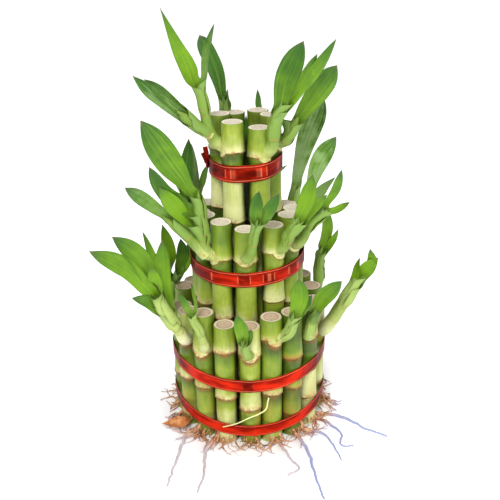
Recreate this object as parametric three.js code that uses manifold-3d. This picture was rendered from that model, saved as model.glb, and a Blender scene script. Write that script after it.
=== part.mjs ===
// Lucky bamboo: cut canes in three rings, tied with ribbons into a stepped tower, rooted and in leaf.
// Millimetres, Z up. Front is -Y. A bearing is in degrees from the front, growing towards +X.
import * as THREE from "three";
import Module from "manifold-3d";

const wasm = await Module();
wasm.setup();

// Driving dimensions.
const caneSides = 9;
const ridge = 0.3; // how far a node stands out of its cane
const ridgeHalf = 1.2; // half the height of that ridge
const cutWave = 1.6; // how much the far canes differ in height
const ribbonGap = 0.3; // between a cane and the ribbon's inner face
const ribbonThickness = 0.6;
const stemSides = 6;
const bladeThickness = 1; // at the rib, thinner towards the edges
const bladeFold = 24; // how far each half of a blade folds up, in degrees
const faceUp = 0.45; // how much a blade's upper face looks up
const clasp = 0.45; // a blade's width at its foot, as a part of its full width
const tipWidth = 0.08; // the same at its tip
const rootLift = 0.1; // a root lies this far above the ground

// The three rings. Each seen cane: its bearing, its height, its top node below the cut and its
// internode. Below lowestNode a cane is hidden and stays plain.
// The rest of each ring is filled evenly from its last cane round the back to its first.
const tiers = {
  top: {
    count: 6, outer: 17.3, caneRadius: 5.2, height: 161, stub: 15, internode: 32, lowestNode: 95,
    seen: [[-95, 162, 16, 38], [-29, 161, 16, 34], [32, 158, 13.5, 32], [90, 161.5, 15, 33],
      [148, 161, 15, 31], [205, 160, 15, 32]],
  },
  middle: {
    count: 12, outer: 28.5, caneRadius: 5.3, height: 113.5, stub: 14.5, internode: 31, lowestNode: 50,
    seen: [[-60.5, 115.5, 16, 30], [-32, 115, 18, 32], [-2, 112.5, 15.5, 33], [32.5, 113, 14, 27],
      [60, 115, 15, 30], [89, 114, 15, 31], [118.5, 112, 15, 30]],
  },
  base: {
    count: 18, outer: 40, caneRadius: 5.35, height: 67, stub: 14, internode: 28, lowestNode: 14,
    seen: [[-84.5, 62, 12, 27], [-61.5, 66, 15, 25], [-40, 70, 20, 21], [-20, 66.5, 14, 26.5],
      [0.5, 66.5, 15, 31], [18.3, 70.5, 11, 31], [37.4, 70, 24, 17], [58, 68, 14, 30],
      [84, 64, 14, 27], [104, 66, 12, 28]],
  },
};

// One more cane stands in the middle of the top ring, cut so low that the ring hides its end.
const coreCane = { name: "top_7", bearing: 0, axis: 0, radius: 6.1, height: 146, nodes: [99, 131] };

// The ribbons: the ring they tie, the height of their middle at the front and their width,
// the rise towards the right, the rise at both sides and the cane that their knot lies on.
const ribbons = {
  ribbon_foot: { tier: "base", middle: 8.7, width: 6.4, right: 0, sides: 4.5, knot: "base_13" },
  ribbon_base: { tier: "base", middle: 35.4, width: 7, right: 0, sides: 3, knot: "base_15" },
  ribbon_middle: { tier: "middle", middle: 88.2, width: 7.8, right: 0.8, sides: 0.8, knot: "middle_10" },
  ribbon_top: { tier: "top", middle: 137.6, width: 8.4, right: 0.8, sides: 0.4, knot: "top_1" },
};

// A ribbon's knot. Its sections: where across, how far out they start and end, and half their height
// as a part of the ribbon's width. Its two tails: how far their ends are to the side and up, and how
// far out each lies. The tails' own sections: how far out, and how much of the way to the end.
const knot = {
  sections: [[-2.8, -0.45, 0.8, 0.18], [0.4, -0.3, 1.3, 0.4], [2.9, -0.45, 0.7, 0.18]],
  tails: [[-2.6, 10, 0], [4.2, 7.6, 0.25]],
  tailSections: [[0.35, 0.08], [1, 0.6], [1.7, 1]],
  tailWidth: 2.2,
};

// Points of shoots and roots: out from the cane's axis, to its right as seen from outside, and up.
// A shoot's heights start at the cane's top node, a root's at the ground.
// A blade: its foot, its middle and its tip, its width, the bearing its upper face looks to
// and how far along it is widest, as a part of its length.
function blade(foot, middle, tip, width, facing, belly = 0.5) {
  return { path: [foot, middle, tip], width, facing, belly };
}

// Shoots by ring and place in the ring. A stem: its points and its radius at foot and top.
const shoots = [
  {
    cane: "top_2",
    stems: [
      { path: [[2, -2, 1], [6, -6, 5], [10, -8, 13], [11, -9, 27], [11, -10, 34]], radii: [3.8, 2.3] },
      { path: [[8, -7, 10], [14, -11, 16], [20, -17, 24]], radii: [3, 2.6] },
    ],
    blades: [
      blade([11, -9, 27], [17, -16, 50], [22, -21, 68], 7.4, 15, 0.45),
      blade([10, -9, 28], [6, -9, 46], [3, -6, 60], 6.5, -50),
      blade([14, -11, 16], [24, -20, 29], [34, -29, 41], 7.5, -25),
      blade([16, -13, 20], [24, -20, 31], [30, -26, 39], 6, 40),
    ],
  },
  {
    cane: "top_6",
    stems: [{ path: [[1, 2, 1], [5, 4, 6], [6, 3, 16], [6, 3, 22]], radii: [3.4, 2.2] }],
    blades: [
      blade([6, 3, 17], [9, 5, 34], [16, 10, 50], 7.8, -15, 0.6),
      blade([5, 2, 15], [5, 1, 20], [5, 0, 25], 3.5, 60),
    ],
  },
  {
    cane: "top_3",
    stems: [{ path: [[2, 1, 1.5], [6, 3, 5], [6.5, 4, 15], [7, 7, 24]], radii: [4, 2.6] }],
    blades: [
      blade([6.5, 5, 17], [9, 9, 35], [15, 14, 53], 11, -20, 0.6),
      blade([7, 6, 19], [11, 17, 35], [12, 24, 46], 7.5, 45),
      blade([7, 8, 22], [12, 22, 38], [15, 32, 52], 6, 20),
    ],
  },
  {
    cane: "top_4",
    stems: [{ path: [[2, -1, 1.5], [7, -3, 3], [10, -2, 8], [13, -2, 14]], radii: [3.8, 2.9] }],
    blades: [
      blade([11, -2, 9], [21, -1, 24], [31, 1, 37], 11, 25, 0.65),
      blade([9, -2, 8], [6, 0, 14], [4, 1, 22], 5, 80),
    ],
  },
  {
    cane: "top_5",
    stems: [{ path: [[2, 1, 1], [5, 2, 6], [5, 2, 12]], radii: [3.2, 1.6] }],
    blades: [blade([5, 2, 9], [5.5, 2.5, 16], [7, 4, 23], 3.5, 30)],
  },
  {
    cane: "middle_2",
    stems: [
      { path: [[2, -2, 1.5], [7, -4, 3], [10, -6, 9], [11, -7, 20], [12, -7, 31]], radii: [3.9, 2.9] },
      { path: [[8, -4, 3], [14, -9, 13], [22, -17, 25]], radii: [3.2, 2.4] },
    ],
    blades: [
      blade([18, -13, 20], [26, -21, 32], [34, -28, 41], 8, -35),
      blade([11.5, -7, 26], [21, -16, 50], [28, -21, 71], 11.5, 20, 0.55),
      blade([12, -8, 17], [20, -14, 34], [27, -19, 50], 9.5, -30),
      blade([11, -7, 22], [15, -5, 38], [20, -6, 55], 8, 50),
    ],
  },
  {
    cane: "middle_12",
    stems: [{ path: [[2, 0, 1], [6, 0, 4], [7, -1, 14], [7, -1, 22]], radii: [3.4, 2.2] }],
    blades: [
      blade([7, -1, 16], [6, -2, 37], [4, -3, 51], 7.5, 30),
      blade([7, -1, 16], [11, 0, 32], [12, -1, 46], 4.5, -60),
    ],
  },
  {
    cane: "middle_3",
    stems: [{ path: [[2, 0, 2.5], [7, 1, 3.5], [9.5, 3, 8], [10, 4, 15], [10, 6, 24]], radii: [3.7, 1.9] }],
    blades: [
      blade([10, 5, 21], [10, 5, 31], [9, 6, 41], 4.2, -25),
      blade([10, 6, 21], [8, 11, 28], [5, 16, 36], 5, 35),
    ],
  },
  {
    cane: "middle_4",
    stems: [{ path: [[2, 1, 1], [7, 1, 3.5], [10, 3, 12], [12, 6, 19]], radii: [3.6, 2.6] }],
    blades: [
      blade([11, 5, 15], [14, 9, 27], [16, 11, 40], 7.5, -10),
      blade([11, 6, 14], [12, 15, 22], [13, 22, 27], 6, 70),
    ],
  },
  {
    cane: "middle_5",
    stems: [{ path: [[2, -1, 1], [7, -2, 2], [11, 0, 10], [14, 3, 15], [18, 7, 18]], radii: [3.4, 2.2] }],
    blades: [
      blade([15, 4, 15], [20, 8, 26], [23, 10, 38], 5.5, 20),
      blade([16, 5, 16], [21, 10, 18], [26, 14, 21], 4, -20),
    ],
  },
  {
    cane: "middle_6",
    stems: [{ path: [[2, 0, 1], [6, 1, 7], [8, 2, 16], [9, 2, 24]], radii: [3.4, 2.4] }],
    blades: [
      blade([8.5, 2, 18], [12, 4, 36], [21, 7, 49], 9.5, 35, 0.6),
      blade([8, 2, 14], [14, -1, 24], [20, -4, 32], 6, 80),
    ],
  },
  {
    cane: "middle_7",
    stems: [{ path: [[2, 1, 1], [5, 2, 7], [6, 3, 15], [7, 2, 24]], radii: [3.5, 2.8] }],
    blades: [
      blade([6.5, 2, 20], [13, 3, 44], [21, -1, 67], 11, 20, 0.7),
      blade([6, 3, 14], [12, 7, 24], [19, 12, 33], 6.5, 140),
    ],
  },
  {
    cane: "base_2",
    stems: [
      {
        path: [[2, 3, 1], [6, 7, 4], [9, 8.5, 10], [15, 9, 20], [19, 8, 31]],
        radii: [3.8, 2.9],
      },
    ],
    blades: [
      blade([18, 8, 27], [32, 7, 49], [48, 3, 60], 11, -20),
      blade([18, 8, 28], [26, 7, 52], [37, 4, 65], 12, 15),
      blade([17, 7, 27], [19, 5, 49], [22, 3, 64], 6.5, 50),
      blade([12, 8, 17], [14.5, 5.5, 38], [13, 4, 58], 7.5, -40),
      blade([18, 9, 27], [21, 12, 39], [23, 12, 48], 6, 5),
      blade([17, 9, 26], [24, 8, 31], [31, 6, 33], 7, 30),
    ],
  },
  {
    cane: "base_3",
    stems: [{ path: [[1.5, 1.5, 1.5], [5, 5, 5], [7, 4, 14], [9, 1, 23]], radii: [3.3, 1.7] }],
    blades: [
      blade([8.5, 2, 19], [10.5, -1, 28], [13, -3, 35], 3.6, 20),
      blade([8.5, 2, 19], [7.5, 2, 30], [7, 0, 39], 3.4, -40),
    ],
  },
  {
    cane: "base_5",
    stems: [{ path: [[2, 0, 1.5], [7, -1.5, 3], [8.5, -3, 8], [8.5, -3, 12]], radii: [3.6, 2] }],
    blades: [
      blade([8.5, -3, 8], [8.5, -4, 18], [7, -6, 25], 5, 0),
      blade([8.5, -2.5, 8], [8.5, -1, 13], [8, 1, 17], 4, 30),
    ],
  },
  {
    cane: "base_6",
    stems: [{ path: [[1.5, 1, 1], [5, 5, 2], [7, 7.5, 7], [7.5, 9, 13]], radii: [3.4, 2.6] }],
    blades: [
      blade([7, 8, 9], [8.5, 11, 21], [8, 11, 33], 8.4, 0, 0.65),
      blade([7, 9, 11], [8, 14, 18], [7.5, 18, 23], 5, 40),
    ],
  },
  {
    cane: "base_8",
    stems: [{ path: [[1.5, -1.5, 0], [4, -5.5, 1], [5, -5, 9], [7, -4, 16]], radii: [3.4, 2.6] }],
    blades: [
      blade([5, -5, 10], [10, -3, 22], [18, 1, 32], 7.8, 10),
      blade([5, -5, 8], [9, -8, 13], [13, -10, 19], 4, 50),
    ],
  },
  {
    cane: "base_9",
    stems: [{ path: [[2, -1, -2], [5, -5, -1], [9, -6, 5], [14, -7, 15], [22, -6, 29]], radii: [4, 3.5] }],
    blades: [
      blade([19, -6, 24], [26, -6, 35], [31, -5, 41], 7.5, 15),
      blade([21, -6, 28], [28, -5, 38], [27, -6, 46], 5.5, -15),
      blade([16, -7, 20], [20, -7.5, 32], [22, -8, 42], 5, -50),
      blade([13, -6, 13], [18, -3, 18], [23, -1, 23], 4, 40),
    ],
  },
  {
    cane: "base_10",
    stems: [{ path: [[2, 2, 1], [5, 5, 5], [7, 7, 13], [7, 8, 22], [9, 8, 31]], radii: [3.2, 2.3] }],
    blades: [
      blade([8, 8, 25], [11, 7, 41], [9, 8, 54], 6, 10),
      blade([8, 8, 24], [14, 6, 34], [17, 6, 40], 4, 30),
      blade([7, 8, 18], [11, 14, 27], [16, 19, 34], 6, 150),
    ],
  },
  {
    cane: "base_18",
    stems: [{ path: [[2, 0, 1], [7, -1, 5], [8, -2, 13], [4.5, -2, 20]], radii: [3.6, 2.2] }],
    blades: [
      blade([5, -2, 17], [1, -1.5, 29], [0.5, 0.5, 41], 7, 20),
      blade([5, -3, 17], [-1, -4, 27], [-2.5, -3.5, 38], 5, -30),
      blade([7, -1, 13], [6, 4, 33], [8, 6.5, 51], 8, 40),
    ],
  },
];

// Shoots on the far side, drawn from the seen ones: the cane, the shoot it follows, mirrored or not.
const farShoots = [
  { cane: "middle_9", like: "middle_4", side: -1 },
  { cane: "middle_11", like: "middle_4", side: -1 },
  { cane: "base_12", like: "base_8", side: -1 },
  { cane: "base_14", like: "base_10", side: 1 },
  { cane: "base_16", like: "base_8", side: 1 },
];

// The long roots that lie on the ground: their cane, their points out and to the side, their radius.
const longRoots = [
  { cane: "base_2", path: [[4, 1], [10, 3], [17, 2]], radius: 0.5 },
  { cane: "base_3", path: [[4, -2], [13, -5], [18.5, -1], [29, 5], [46, 15]], radius: 0.6 },
  { cane: "base_4", path: [[4, -2], [15, -6], [26, -2.5], [34, 0.5], [46, 2]], radius: 0.5 },
  { cane: "base_6", path: [[4, 0], [10, 1], [21, 2], [30, 3], [33, -3.5]], radius: 0.6 },
  { cane: "base_7", path: [[4, 2], [15, 9], [25, 7], [36, 2.5]], radius: 0.5 },
  { cane: "base_7", path: [[4, -2], [17, -5], [32, -13], [50, -23]], radius: 0.6 },
  { cane: "base_8", path: [[4, 3], [8, 7], [20, 9], [32, 6.5], [44, 6]], radius: 0.5 },
  { cane: "base_8", path: [[4, 0], [9, 1.5], [14, 1], [23, -4], [27, -12], [33, -10]], radius: 0.5 },
  { cane: "base_9", path: [[4, -1], [8, -3.5], [13, -9]], radius: 0.5 },
  { cane: "base_12", path: [[4, 0], [14, 3], [24, 1], [36, 4]], radius: 0.5 },
  { cane: "base_14", path: [[4, 1], [15, 0], [25, 4]], radius: 0.5 },
  { cane: "base_16", path: [[4, 0], [12, -3], [25, -2], [38, -5]], radius: 0.5 },
];

// The short roots at the foot of each base cane: how many, how far they reach and how they spread,
// how high they start and how much they wander to the side.
const shortRoots = { count: 3, reach: 11, spread: 2.6, radius: 0.6, rise: 3, wander: 1.2 };

// A dry sheath that hangs by one cane's foot, and a pale root that curls over the foot ribbon.
const drySheath = {
  cane: "base_2",
  path: [[3, 4, 4], [11, 7, 4], [17, 0, 3]],
  width: 6,
  belly: 0.5,
  face: [0.3, 0.5, 1],
};
const curlRoot = {
  cane: "base_6",
  path: [[5, 1, 26], [6.6, -1, 21], [7.2, -4, 16], [7.4, -9, 14], [7, -14.5, 11.5], [5.4, -20, 10]],
  radii: [0.65, 0.4],
  sides: 4,
  steps: 9,
};

const colours = {
  cane: 0x8fb356,
  ribbon: 0xd02a1e,
};

const radians = THREE.MathUtils.degToRad;

// A closed solid through rings of points. Rings run anticlockwise as seen from the last ring's end.
function loft(rings, closed = false) {
  const size = rings[0].length;
  const positions = rings.flat().flatMap((point) => point.toArray());
  const triangles = [];
  const spans = closed ? rings.length : rings.length - 1;
  for (let ring = 0; ring < spans; ring++) {
    const low = ring * size;
    const high = ((ring + 1) % rings.length) * size;
    for (let i = 0; i < size; i++) {
      const j = (i + 1) % size;
      triangles.push(low + i, low + j, high + j, low + i, high + j, high + i);
    }
  }
  if (!closed) {
    const last = (rings.length - 1) * size;
    let left = 0;
    let right = size - 1;
    while (right - left >= 2) {
      addCapTriangle(triangles, last, left, left + 1, right);
      left++;
      if (right - left >= 2) {
        addCapTriangle(triangles, last, left, right - 1, right);
        right--;
      }
    }
  }
  const vertProperties = new Float32Array(positions);
  const triVerts = new Uint32Array(triangles);
  return new wasm.Manifold(new wasm.Mesh({ numProp: 3, vertProperties, triVerts }));
}

// One triangle of the first ring's cap and the same one, turned round, of the last ring's.
function addCapTriangle(triangles, last, a, b, c) {
  triangles.push(a, c, b, last + a, last + b, last + c);
}

// A cane with its node ridges, standing on the ground on its axis.
function caneSolid({ radius, height, nodes }) {
  const profile = [new THREE.Vector2(0, 0), new THREE.Vector2(radius, 0)];
  for (const node of nodes) {
    profile.push(new THREE.Vector2(radius, node - ridgeHalf));
    profile.push(new THREE.Vector2(radius + ridge, node));
    profile.push(new THREE.Vector2(radius, node + ridgeHalf));
  }
  profile.push(new THREE.Vector2(radius, height), new THREE.Vector2(0, height));
  const rings = profile.slice(1, -1).map(({ x, y }) => {
    const around = Array.from({ length: caneSides }, (_, side) => (side * 2 * Math.PI) / caneSides);
    return around.map((angle) => new THREE.Vector3(x * Math.cos(angle), x * Math.sin(angle), y));
  });
  return loft(rings);
}

// A round tube along points, its radius given along its length from 0 to 1.
function tube(points, sides, steps, radiusAt) {
  const curve = new THREE.CatmullRomCurve3(points, false, "centripetal");
  const frames = curve.computeFrenetFrames(steps, false);
  const rings = [];
  for (let step = 0; step <= steps; step++) {
    const centre = curve.getPointAt(step / steps);
    const radius = radiusAt(step / steps);
    rings.push(
      Array.from({ length: sides }, (_, side) => {
        const angle = (side * 2 * Math.PI) / sides;
        return centre
          .clone()
          .addScaledVector(frames.normals[step], radius * Math.cos(angle))
          .addScaledVector(frames.binormals[step], radius * Math.sin(angle));
      }),
    );
  }
  return loft(rings);
}

// How wide a blade is along its length: clasping at its foot, widest at its belly, then pointed.
function bladeWidthAt(t, belly) {
  if (t < belly) {
    return clasp + (1 - clasp) * Math.sin((Math.PI / 2) * (t / belly));
  }
  return Math.max(1 - ((t - belly) / (1 - belly)) ** 2, tipWidth);
}

// A folded blade. Its upper face looks towards the given direction and a little up.
function bladeSolid(path, width, belly, facing) {
  const curve = new THREE.CatmullRomCurve3(path, false, "centripetal");
  const steps = width > 6 ? 5 : 4;
  const rings = [];
  for (let step = 0; step <= steps; step++) {
    const t = step / steps;
    const centre = curve.getPointAt(t);
    const along = curve.getTangentAt(t);
    const up = facing.clone().addScaledVector(along, -facing.dot(along)).normalize();
    const across = new THREE.Vector3().crossVectors(along, up);
    const half = (width / 2) * bladeWidthAt(t, belly);
    const fold = radians(bladeFold) * (1 - t);
    const edge = (side) =>
      centre
        .clone()
        .addScaledVector(across, side * half * Math.cos(fold))
        .addScaledVector(up, half * Math.sin(fold));
    const rib = (face) => centre.clone().addScaledVector(up, face * (bladeThickness / 2));
    rings.push([edge(-1), rib(1), edge(1), rib(-1)]);
  }
  return loft(rings);
}

// Every cane of a ring: its name, where it stands and the heights of its nodes.
function ringOfCanes(name, tier) {
  const first = tier.seen[0][0];
  const last = tier.seen.at(-1)[0];
  const missing = tier.count - tier.seen.length;
  const rows = [...tier.seen];
  for (let i = 1; i <= missing; i++) {
    const bearing = last + ((first + 360 - last) * i) / (missing + 1);
    const height = tier.height + cutWave * Math.sin(2.4 * i);
    rows.push([bearing, height, tier.stub, tier.internode]);
  }
  return rows.map(([bearing, height, stub, internode], index) => {
    const nodes = [];
    for (let node = height - stub; node > tier.lowestNode; node -= internode) {
      nodes.unshift(node);
    }
    return {
      name: `${name}_${index + 1}`,
      bearing: radians(bearing),
      axis: tier.outer - tier.caneRadius,
      radius: tier.caneRadius,
      height,
      nodes,
    };
  });
}

const ringCanes = Object.entries(tiers).flatMap(([name, tier]) => ringOfCanes(name, tier));
const canes = [...ringCanes, coreCane];

// A direction at a bearing, in the tower's own axes.
function outward(bearing) {
  return new THREE.Vector3(Math.sin(bearing), -Math.cos(bearing), 0);
}

// The direction to the right of a bearing, as seen from outside.
function sideways(bearing) {
  return new THREE.Vector3(Math.cos(bearing), Math.sin(bearing), 0);
}

// A cane's shoot: its stems and its blades.
function shootSolids(shoot, cane, side = 1) {
  const top = cane.nodes.at(-1);
  const place = ([out, across, up]) => new THREE.Vector3(out, across * side, top + up);
  const solids = shoot.stems.map(({ path, radii: [foot, tip] }) =>
    tube(path.map(place), stemSides, path.length, (t) => tip + (foot - tip) * (1 - t) ** 2),
  );
  for (const { path, width, facing, belly } of shoot.blades) {
    const turned = side === 1 ? radians(facing) - cane.bearing : radians(facing);
    const face = new THREE.Vector3(Math.cos(turned), Math.sin(turned), faceUp);
    solids.push(bladeSolid(path.map(place), width, belly, face));
  }
  return solids;
}

// The roots at a base cane's foot: short ones that fan out, and the long ones listed for it.
function rootSolids(cane, index) {
  const { count, reach, spread, radius, rise, wander } = shortRoots;
  const solids = [];
  for (let i = 0; i < count; i++) {
    const across = spread * (i - (count - 1) / 2);
    const far = cane.radius + reach * (0.6 + 0.4 * Math.sin(5.3 * index + 2.1 * i));
    const sway = wander * Math.sin(3.7 * index + 4.3 * i);
    const path = [
      [cane.radius - 2, across, rise + i],
      [cane.radius + 1.5, across * 1.2, rise / 2 + radius],
      [(cane.radius + far) / 2 + 1, across * 1.5 + sway, radius + rootLift],
      [far + 1, across * 1.9 - sway, radius + rootLift],
    ];
    solids.push(rootTube(path, radius));
  }
  for (const root of longRoots.filter(({ cane: owner }) => owner === cane.name)) {
    const low = root.radius + rootLift;
    const path = root.path.map(([out, across], place) => [out, across, low + rise * 0.5 ** (2 * place + 1)]);
    solids.push(rootTube(path, root.radius));
  }
  return solids;
}

function pointsOf(path) {
  return path.map((point) => new THREE.Vector3(...point));
}

// A three-sided root, half as thick at its tip.
function rootTube(path, radius) {
  return tube(pointsOf(path), 3, path.length, (t) => radius * (1 - 0.5 * t));
}

// The fused solid's main body: a hollow sealed by fusing is filled and a loose scrap is dropped.
function mainBody(solids) {
  const bodies = wasm.Manifold.union(solids).decompose();
  return bodies.reduce((most, body) => (body.volume() > most.volume() ? body : most));
}

// One cane with all that grows from it, as a mesh that stands at its bearing.
function caneMesh(cane, index) {
  const solids = [caneSolid(cane)];
  const own = shoots.find((shoot) => shoot.cane === cane.name);
  if (own) solids.push(...shootSolids(own, cane));
  const far = farShoots.find((shoot) => shoot.cane === cane.name);
  if (far) {
    const like = shoots.find((shoot) => shoot.cane === far.like);
    solids.push(...shootSolids(like, cane, far.side));
  }
  if (cane.name.startsWith("base")) solids.push(...rootSolids(cane, index));
  if (cane.name === drySheath.cane) {
    const { path, width, belly, face } = drySheath;
    solids.push(bladeSolid(pointsOf(path), width, belly, new THREE.Vector3(...face)));
  }
  if (cane.name === curlRoot.cane) {
    const { path, radii: [foot, tip], sides, steps } = curlRoot;
    solids.push(tube(pointsOf(path), sides, steps, (t) => foot + (tip - foot) * t));
  }
  const mesh = meshOf(`cane_${cane.name}`, mainBody(solids), materials.cane);
  mesh.position.copy(outward(cane.bearing)).multiplyScalar(cane.axis);
  mesh.rotation.z = cane.bearing - Math.PI / 2;
  return mesh;
}

// A ribbon tied round a ring of canes: flat from cane to cane, with a knot and two short tails.
function ribbonMesh(name, ribbon) {
  const ring = ringCanes
    .filter((cane) => cane.name.startsWith(ribbon.tier))
    .sort((a, b) => a.bearing - b.bearing);
  const rings = ring.flatMap((cane, index) => {
    const before = ring.at(index - 1).bearing - (index === 0 ? 2 * Math.PI : 0);
    const after = ring[(index + 1) % ring.length].bearing + (index === ring.length - 1 ? 2 * Math.PI : 0);
    const start = (before + cane.bearing) / 2;
    const end = (cane.bearing + after) / 2;
    return [0, 0.5, 1].map((part) => ribbonSection(ribbon, cane, start + (end - start) * part));
  });
  return meshOf(name, mainBody([loft(rings, true), ...knotSolids(ribbon)]), materials.ribbon);
}

// The knot and its tails, on the outside of the ribbon over one cane's crest.
function knotSolids(ribbon) {
  const cane = canes.find(({ name }) => name === ribbon.knot);
  const level = ribbonHeightAt(ribbon, cane.bearing);
  const crest = cane.axis + cane.radius + ribbonGap + ribbonThickness;
  const place = (out, across, up) =>
    outward(cane.bearing)
      .multiplyScalar(crest + out)
      .addScaledVector(sideways(cane.bearing), across)
      .setZ(level + up);
  const lump = knot.sections.map(([across, inner, outer, part]) => {
    const half = ribbon.width * part;
    return [
      place(inner, across, -half),
      place(inner, across, half),
      place(outer, across, half),
      place(outer, across, -half),
    ];
  });
  const tails = knot.tails.map(([across, up, lift]) => {
    const rings = knot.tailSections.map(([out, part]) => {
      const inner = out + lift - ribbonThickness / 2;
      const outer = out + lift + ribbonThickness / 2;
      const left = across * part - knot.tailWidth / 2;
      const right = across * part + knot.tailWidth / 2;
      return [
        place(outer, left, up * part),
        place(outer, right, up * part),
        place(inner, right, up * part),
        place(inner, left, up * part),
      ];
    });
    return loft(rings);
  });
  return [loft(lump), ...tails];
}

function ribbonHeightAt(ribbon, bearing) {
  return ribbon.middle + ribbon.right * Math.sin(bearing) + ribbon.sides * Math.sin(bearing) ** 2;
}

// The ribbon's four corners where it bears on a cane, facing along a bearing.
function ribbonSection(ribbon, cane, bearing) {
  const centre = outward(cane.bearing).multiplyScalar(cane.axis);
  const middle = ribbonHeightAt(ribbon, bearing);
  const corner = (depth, side) =>
    outward(bearing)
      .multiplyScalar(cane.radius + depth)
      .add(centre)
      .setZ(middle + (side * ribbon.width) / 2);
  const outside = ribbonGap + ribbonThickness;
  return [corner(ribbonGap, -1), corner(ribbonGap, 1), corner(outside, 1), corner(outside, -1)];
}

function meshOf(name, solid, material) {
  const { vertProperties, triVerts } = solid.getMesh();
  const geometry = new THREE.BufferGeometry();
  geometry.setAttribute("position", new THREE.BufferAttribute(vertProperties, 3));
  geometry.setIndex(new THREE.BufferAttribute(triVerts, 1));
  const mesh = new THREE.Mesh(geometry, material.clone());
  mesh.name = name;
  return mesh;
}

const materials = {
  cane: new THREE.MeshStandardMaterial({ color: colours.cane, roughness: 0.45, metalness: 0 }),
  ribbon: new THREE.MeshStandardMaterial({ color: colours.ribbon, roughness: 0.25, metalness: 0.6 }),
};

const tower = new THREE.Group();
canes.forEach((cane, index) => tower.add(caneMesh(cane, index)));
Object.entries(ribbons).forEach(([name, ribbon]) => tower.add(ribbonMesh(name, ribbon)));

// The part's origin is the middle of its whole box, on the ground.
const middle = new THREE.Box3().setFromObject(tower, true).getCenter(new THREE.Vector3());
tower.position.set(-middle.x, -middle.y, 0);
const part = new THREE.Group();
part.add(tower);

export default part;
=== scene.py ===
import math
import random

import bpy
import numpy as np
from mathutils import Matrix, Vector


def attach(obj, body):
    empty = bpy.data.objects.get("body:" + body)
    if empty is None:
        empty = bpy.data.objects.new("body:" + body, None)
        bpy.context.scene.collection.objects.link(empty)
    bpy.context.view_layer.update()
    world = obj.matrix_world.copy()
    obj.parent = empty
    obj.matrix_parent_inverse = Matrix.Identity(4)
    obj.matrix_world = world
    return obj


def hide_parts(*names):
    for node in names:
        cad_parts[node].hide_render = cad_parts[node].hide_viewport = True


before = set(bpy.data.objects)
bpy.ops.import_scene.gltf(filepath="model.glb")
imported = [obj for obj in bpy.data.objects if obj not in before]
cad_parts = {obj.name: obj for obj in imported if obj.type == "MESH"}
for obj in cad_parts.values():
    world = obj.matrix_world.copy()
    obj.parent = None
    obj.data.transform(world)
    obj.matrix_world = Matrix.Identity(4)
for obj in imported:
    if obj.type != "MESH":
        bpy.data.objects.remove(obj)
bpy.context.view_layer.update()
print("frame loaded")

# Lengths are millimetres, and grow makes them metres. Only the floor and the lights are given in metres.
# The front is -Y. A bearing is an angle from the front towards +X, in degrees in the tables of canes,
# shoots and ribbons and in radians elsewhere.
mm = 0.001
turn = 2 * math.pi


def outward(bearing):
    return Vector((math.sin(bearing), -math.cos(bearing), 0))


def sideways(bearing):
    return Vector((math.cos(bearing), math.sin(bearing), 0))


def paint(red, green, blue):  # a screen colour, 0 to 255, as the colour that a shader needs
    linear = [c / 3294.6 if c <= 10 else ((c / 255 + 0.055) / 1.055) ** 2.4 for c in (red, green, blue)]
    return (*linear, 1)


class Wire:  # a socket that takes part in sums, with plain numbers on either side
    def __init__(self, graph, socket):
        self.graph = graph
        self.socket = socket

    def out(self, name):
        return Wire(self.graph, pick(self.socket.node.outputs, name))

    def __add__(self, other):
        return self.graph.calc("ADD", self, other)

    def __radd__(self, other):
        return self.graph.calc("ADD", other, self)

    def __sub__(self, other):
        return self.graph.calc("SUBTRACT", self, other)

    def __rsub__(self, other):
        return self.graph.calc("SUBTRACT", other, self)

    def __mul__(self, other):
        return self.graph.calc("MULTIPLY", self, other)

    def __rmul__(self, other):
        return self.graph.calc("MULTIPLY", other, self)

    def __truediv__(self, other):
        return self.graph.calc("DIVIDE", self, other)

    def __rtruediv__(self, other):
        return self.graph.calc("DIVIDE", other, self)

    def __pow__(self, other):
        return self.graph.calc("POWER", self, other)


def pick(sockets, key):  # a socket by place, or by the name that shows on the node
    if isinstance(key, int):
        return sockets[key]
    return next(s for s in sockets if s.enabled and s.name == key)


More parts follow.
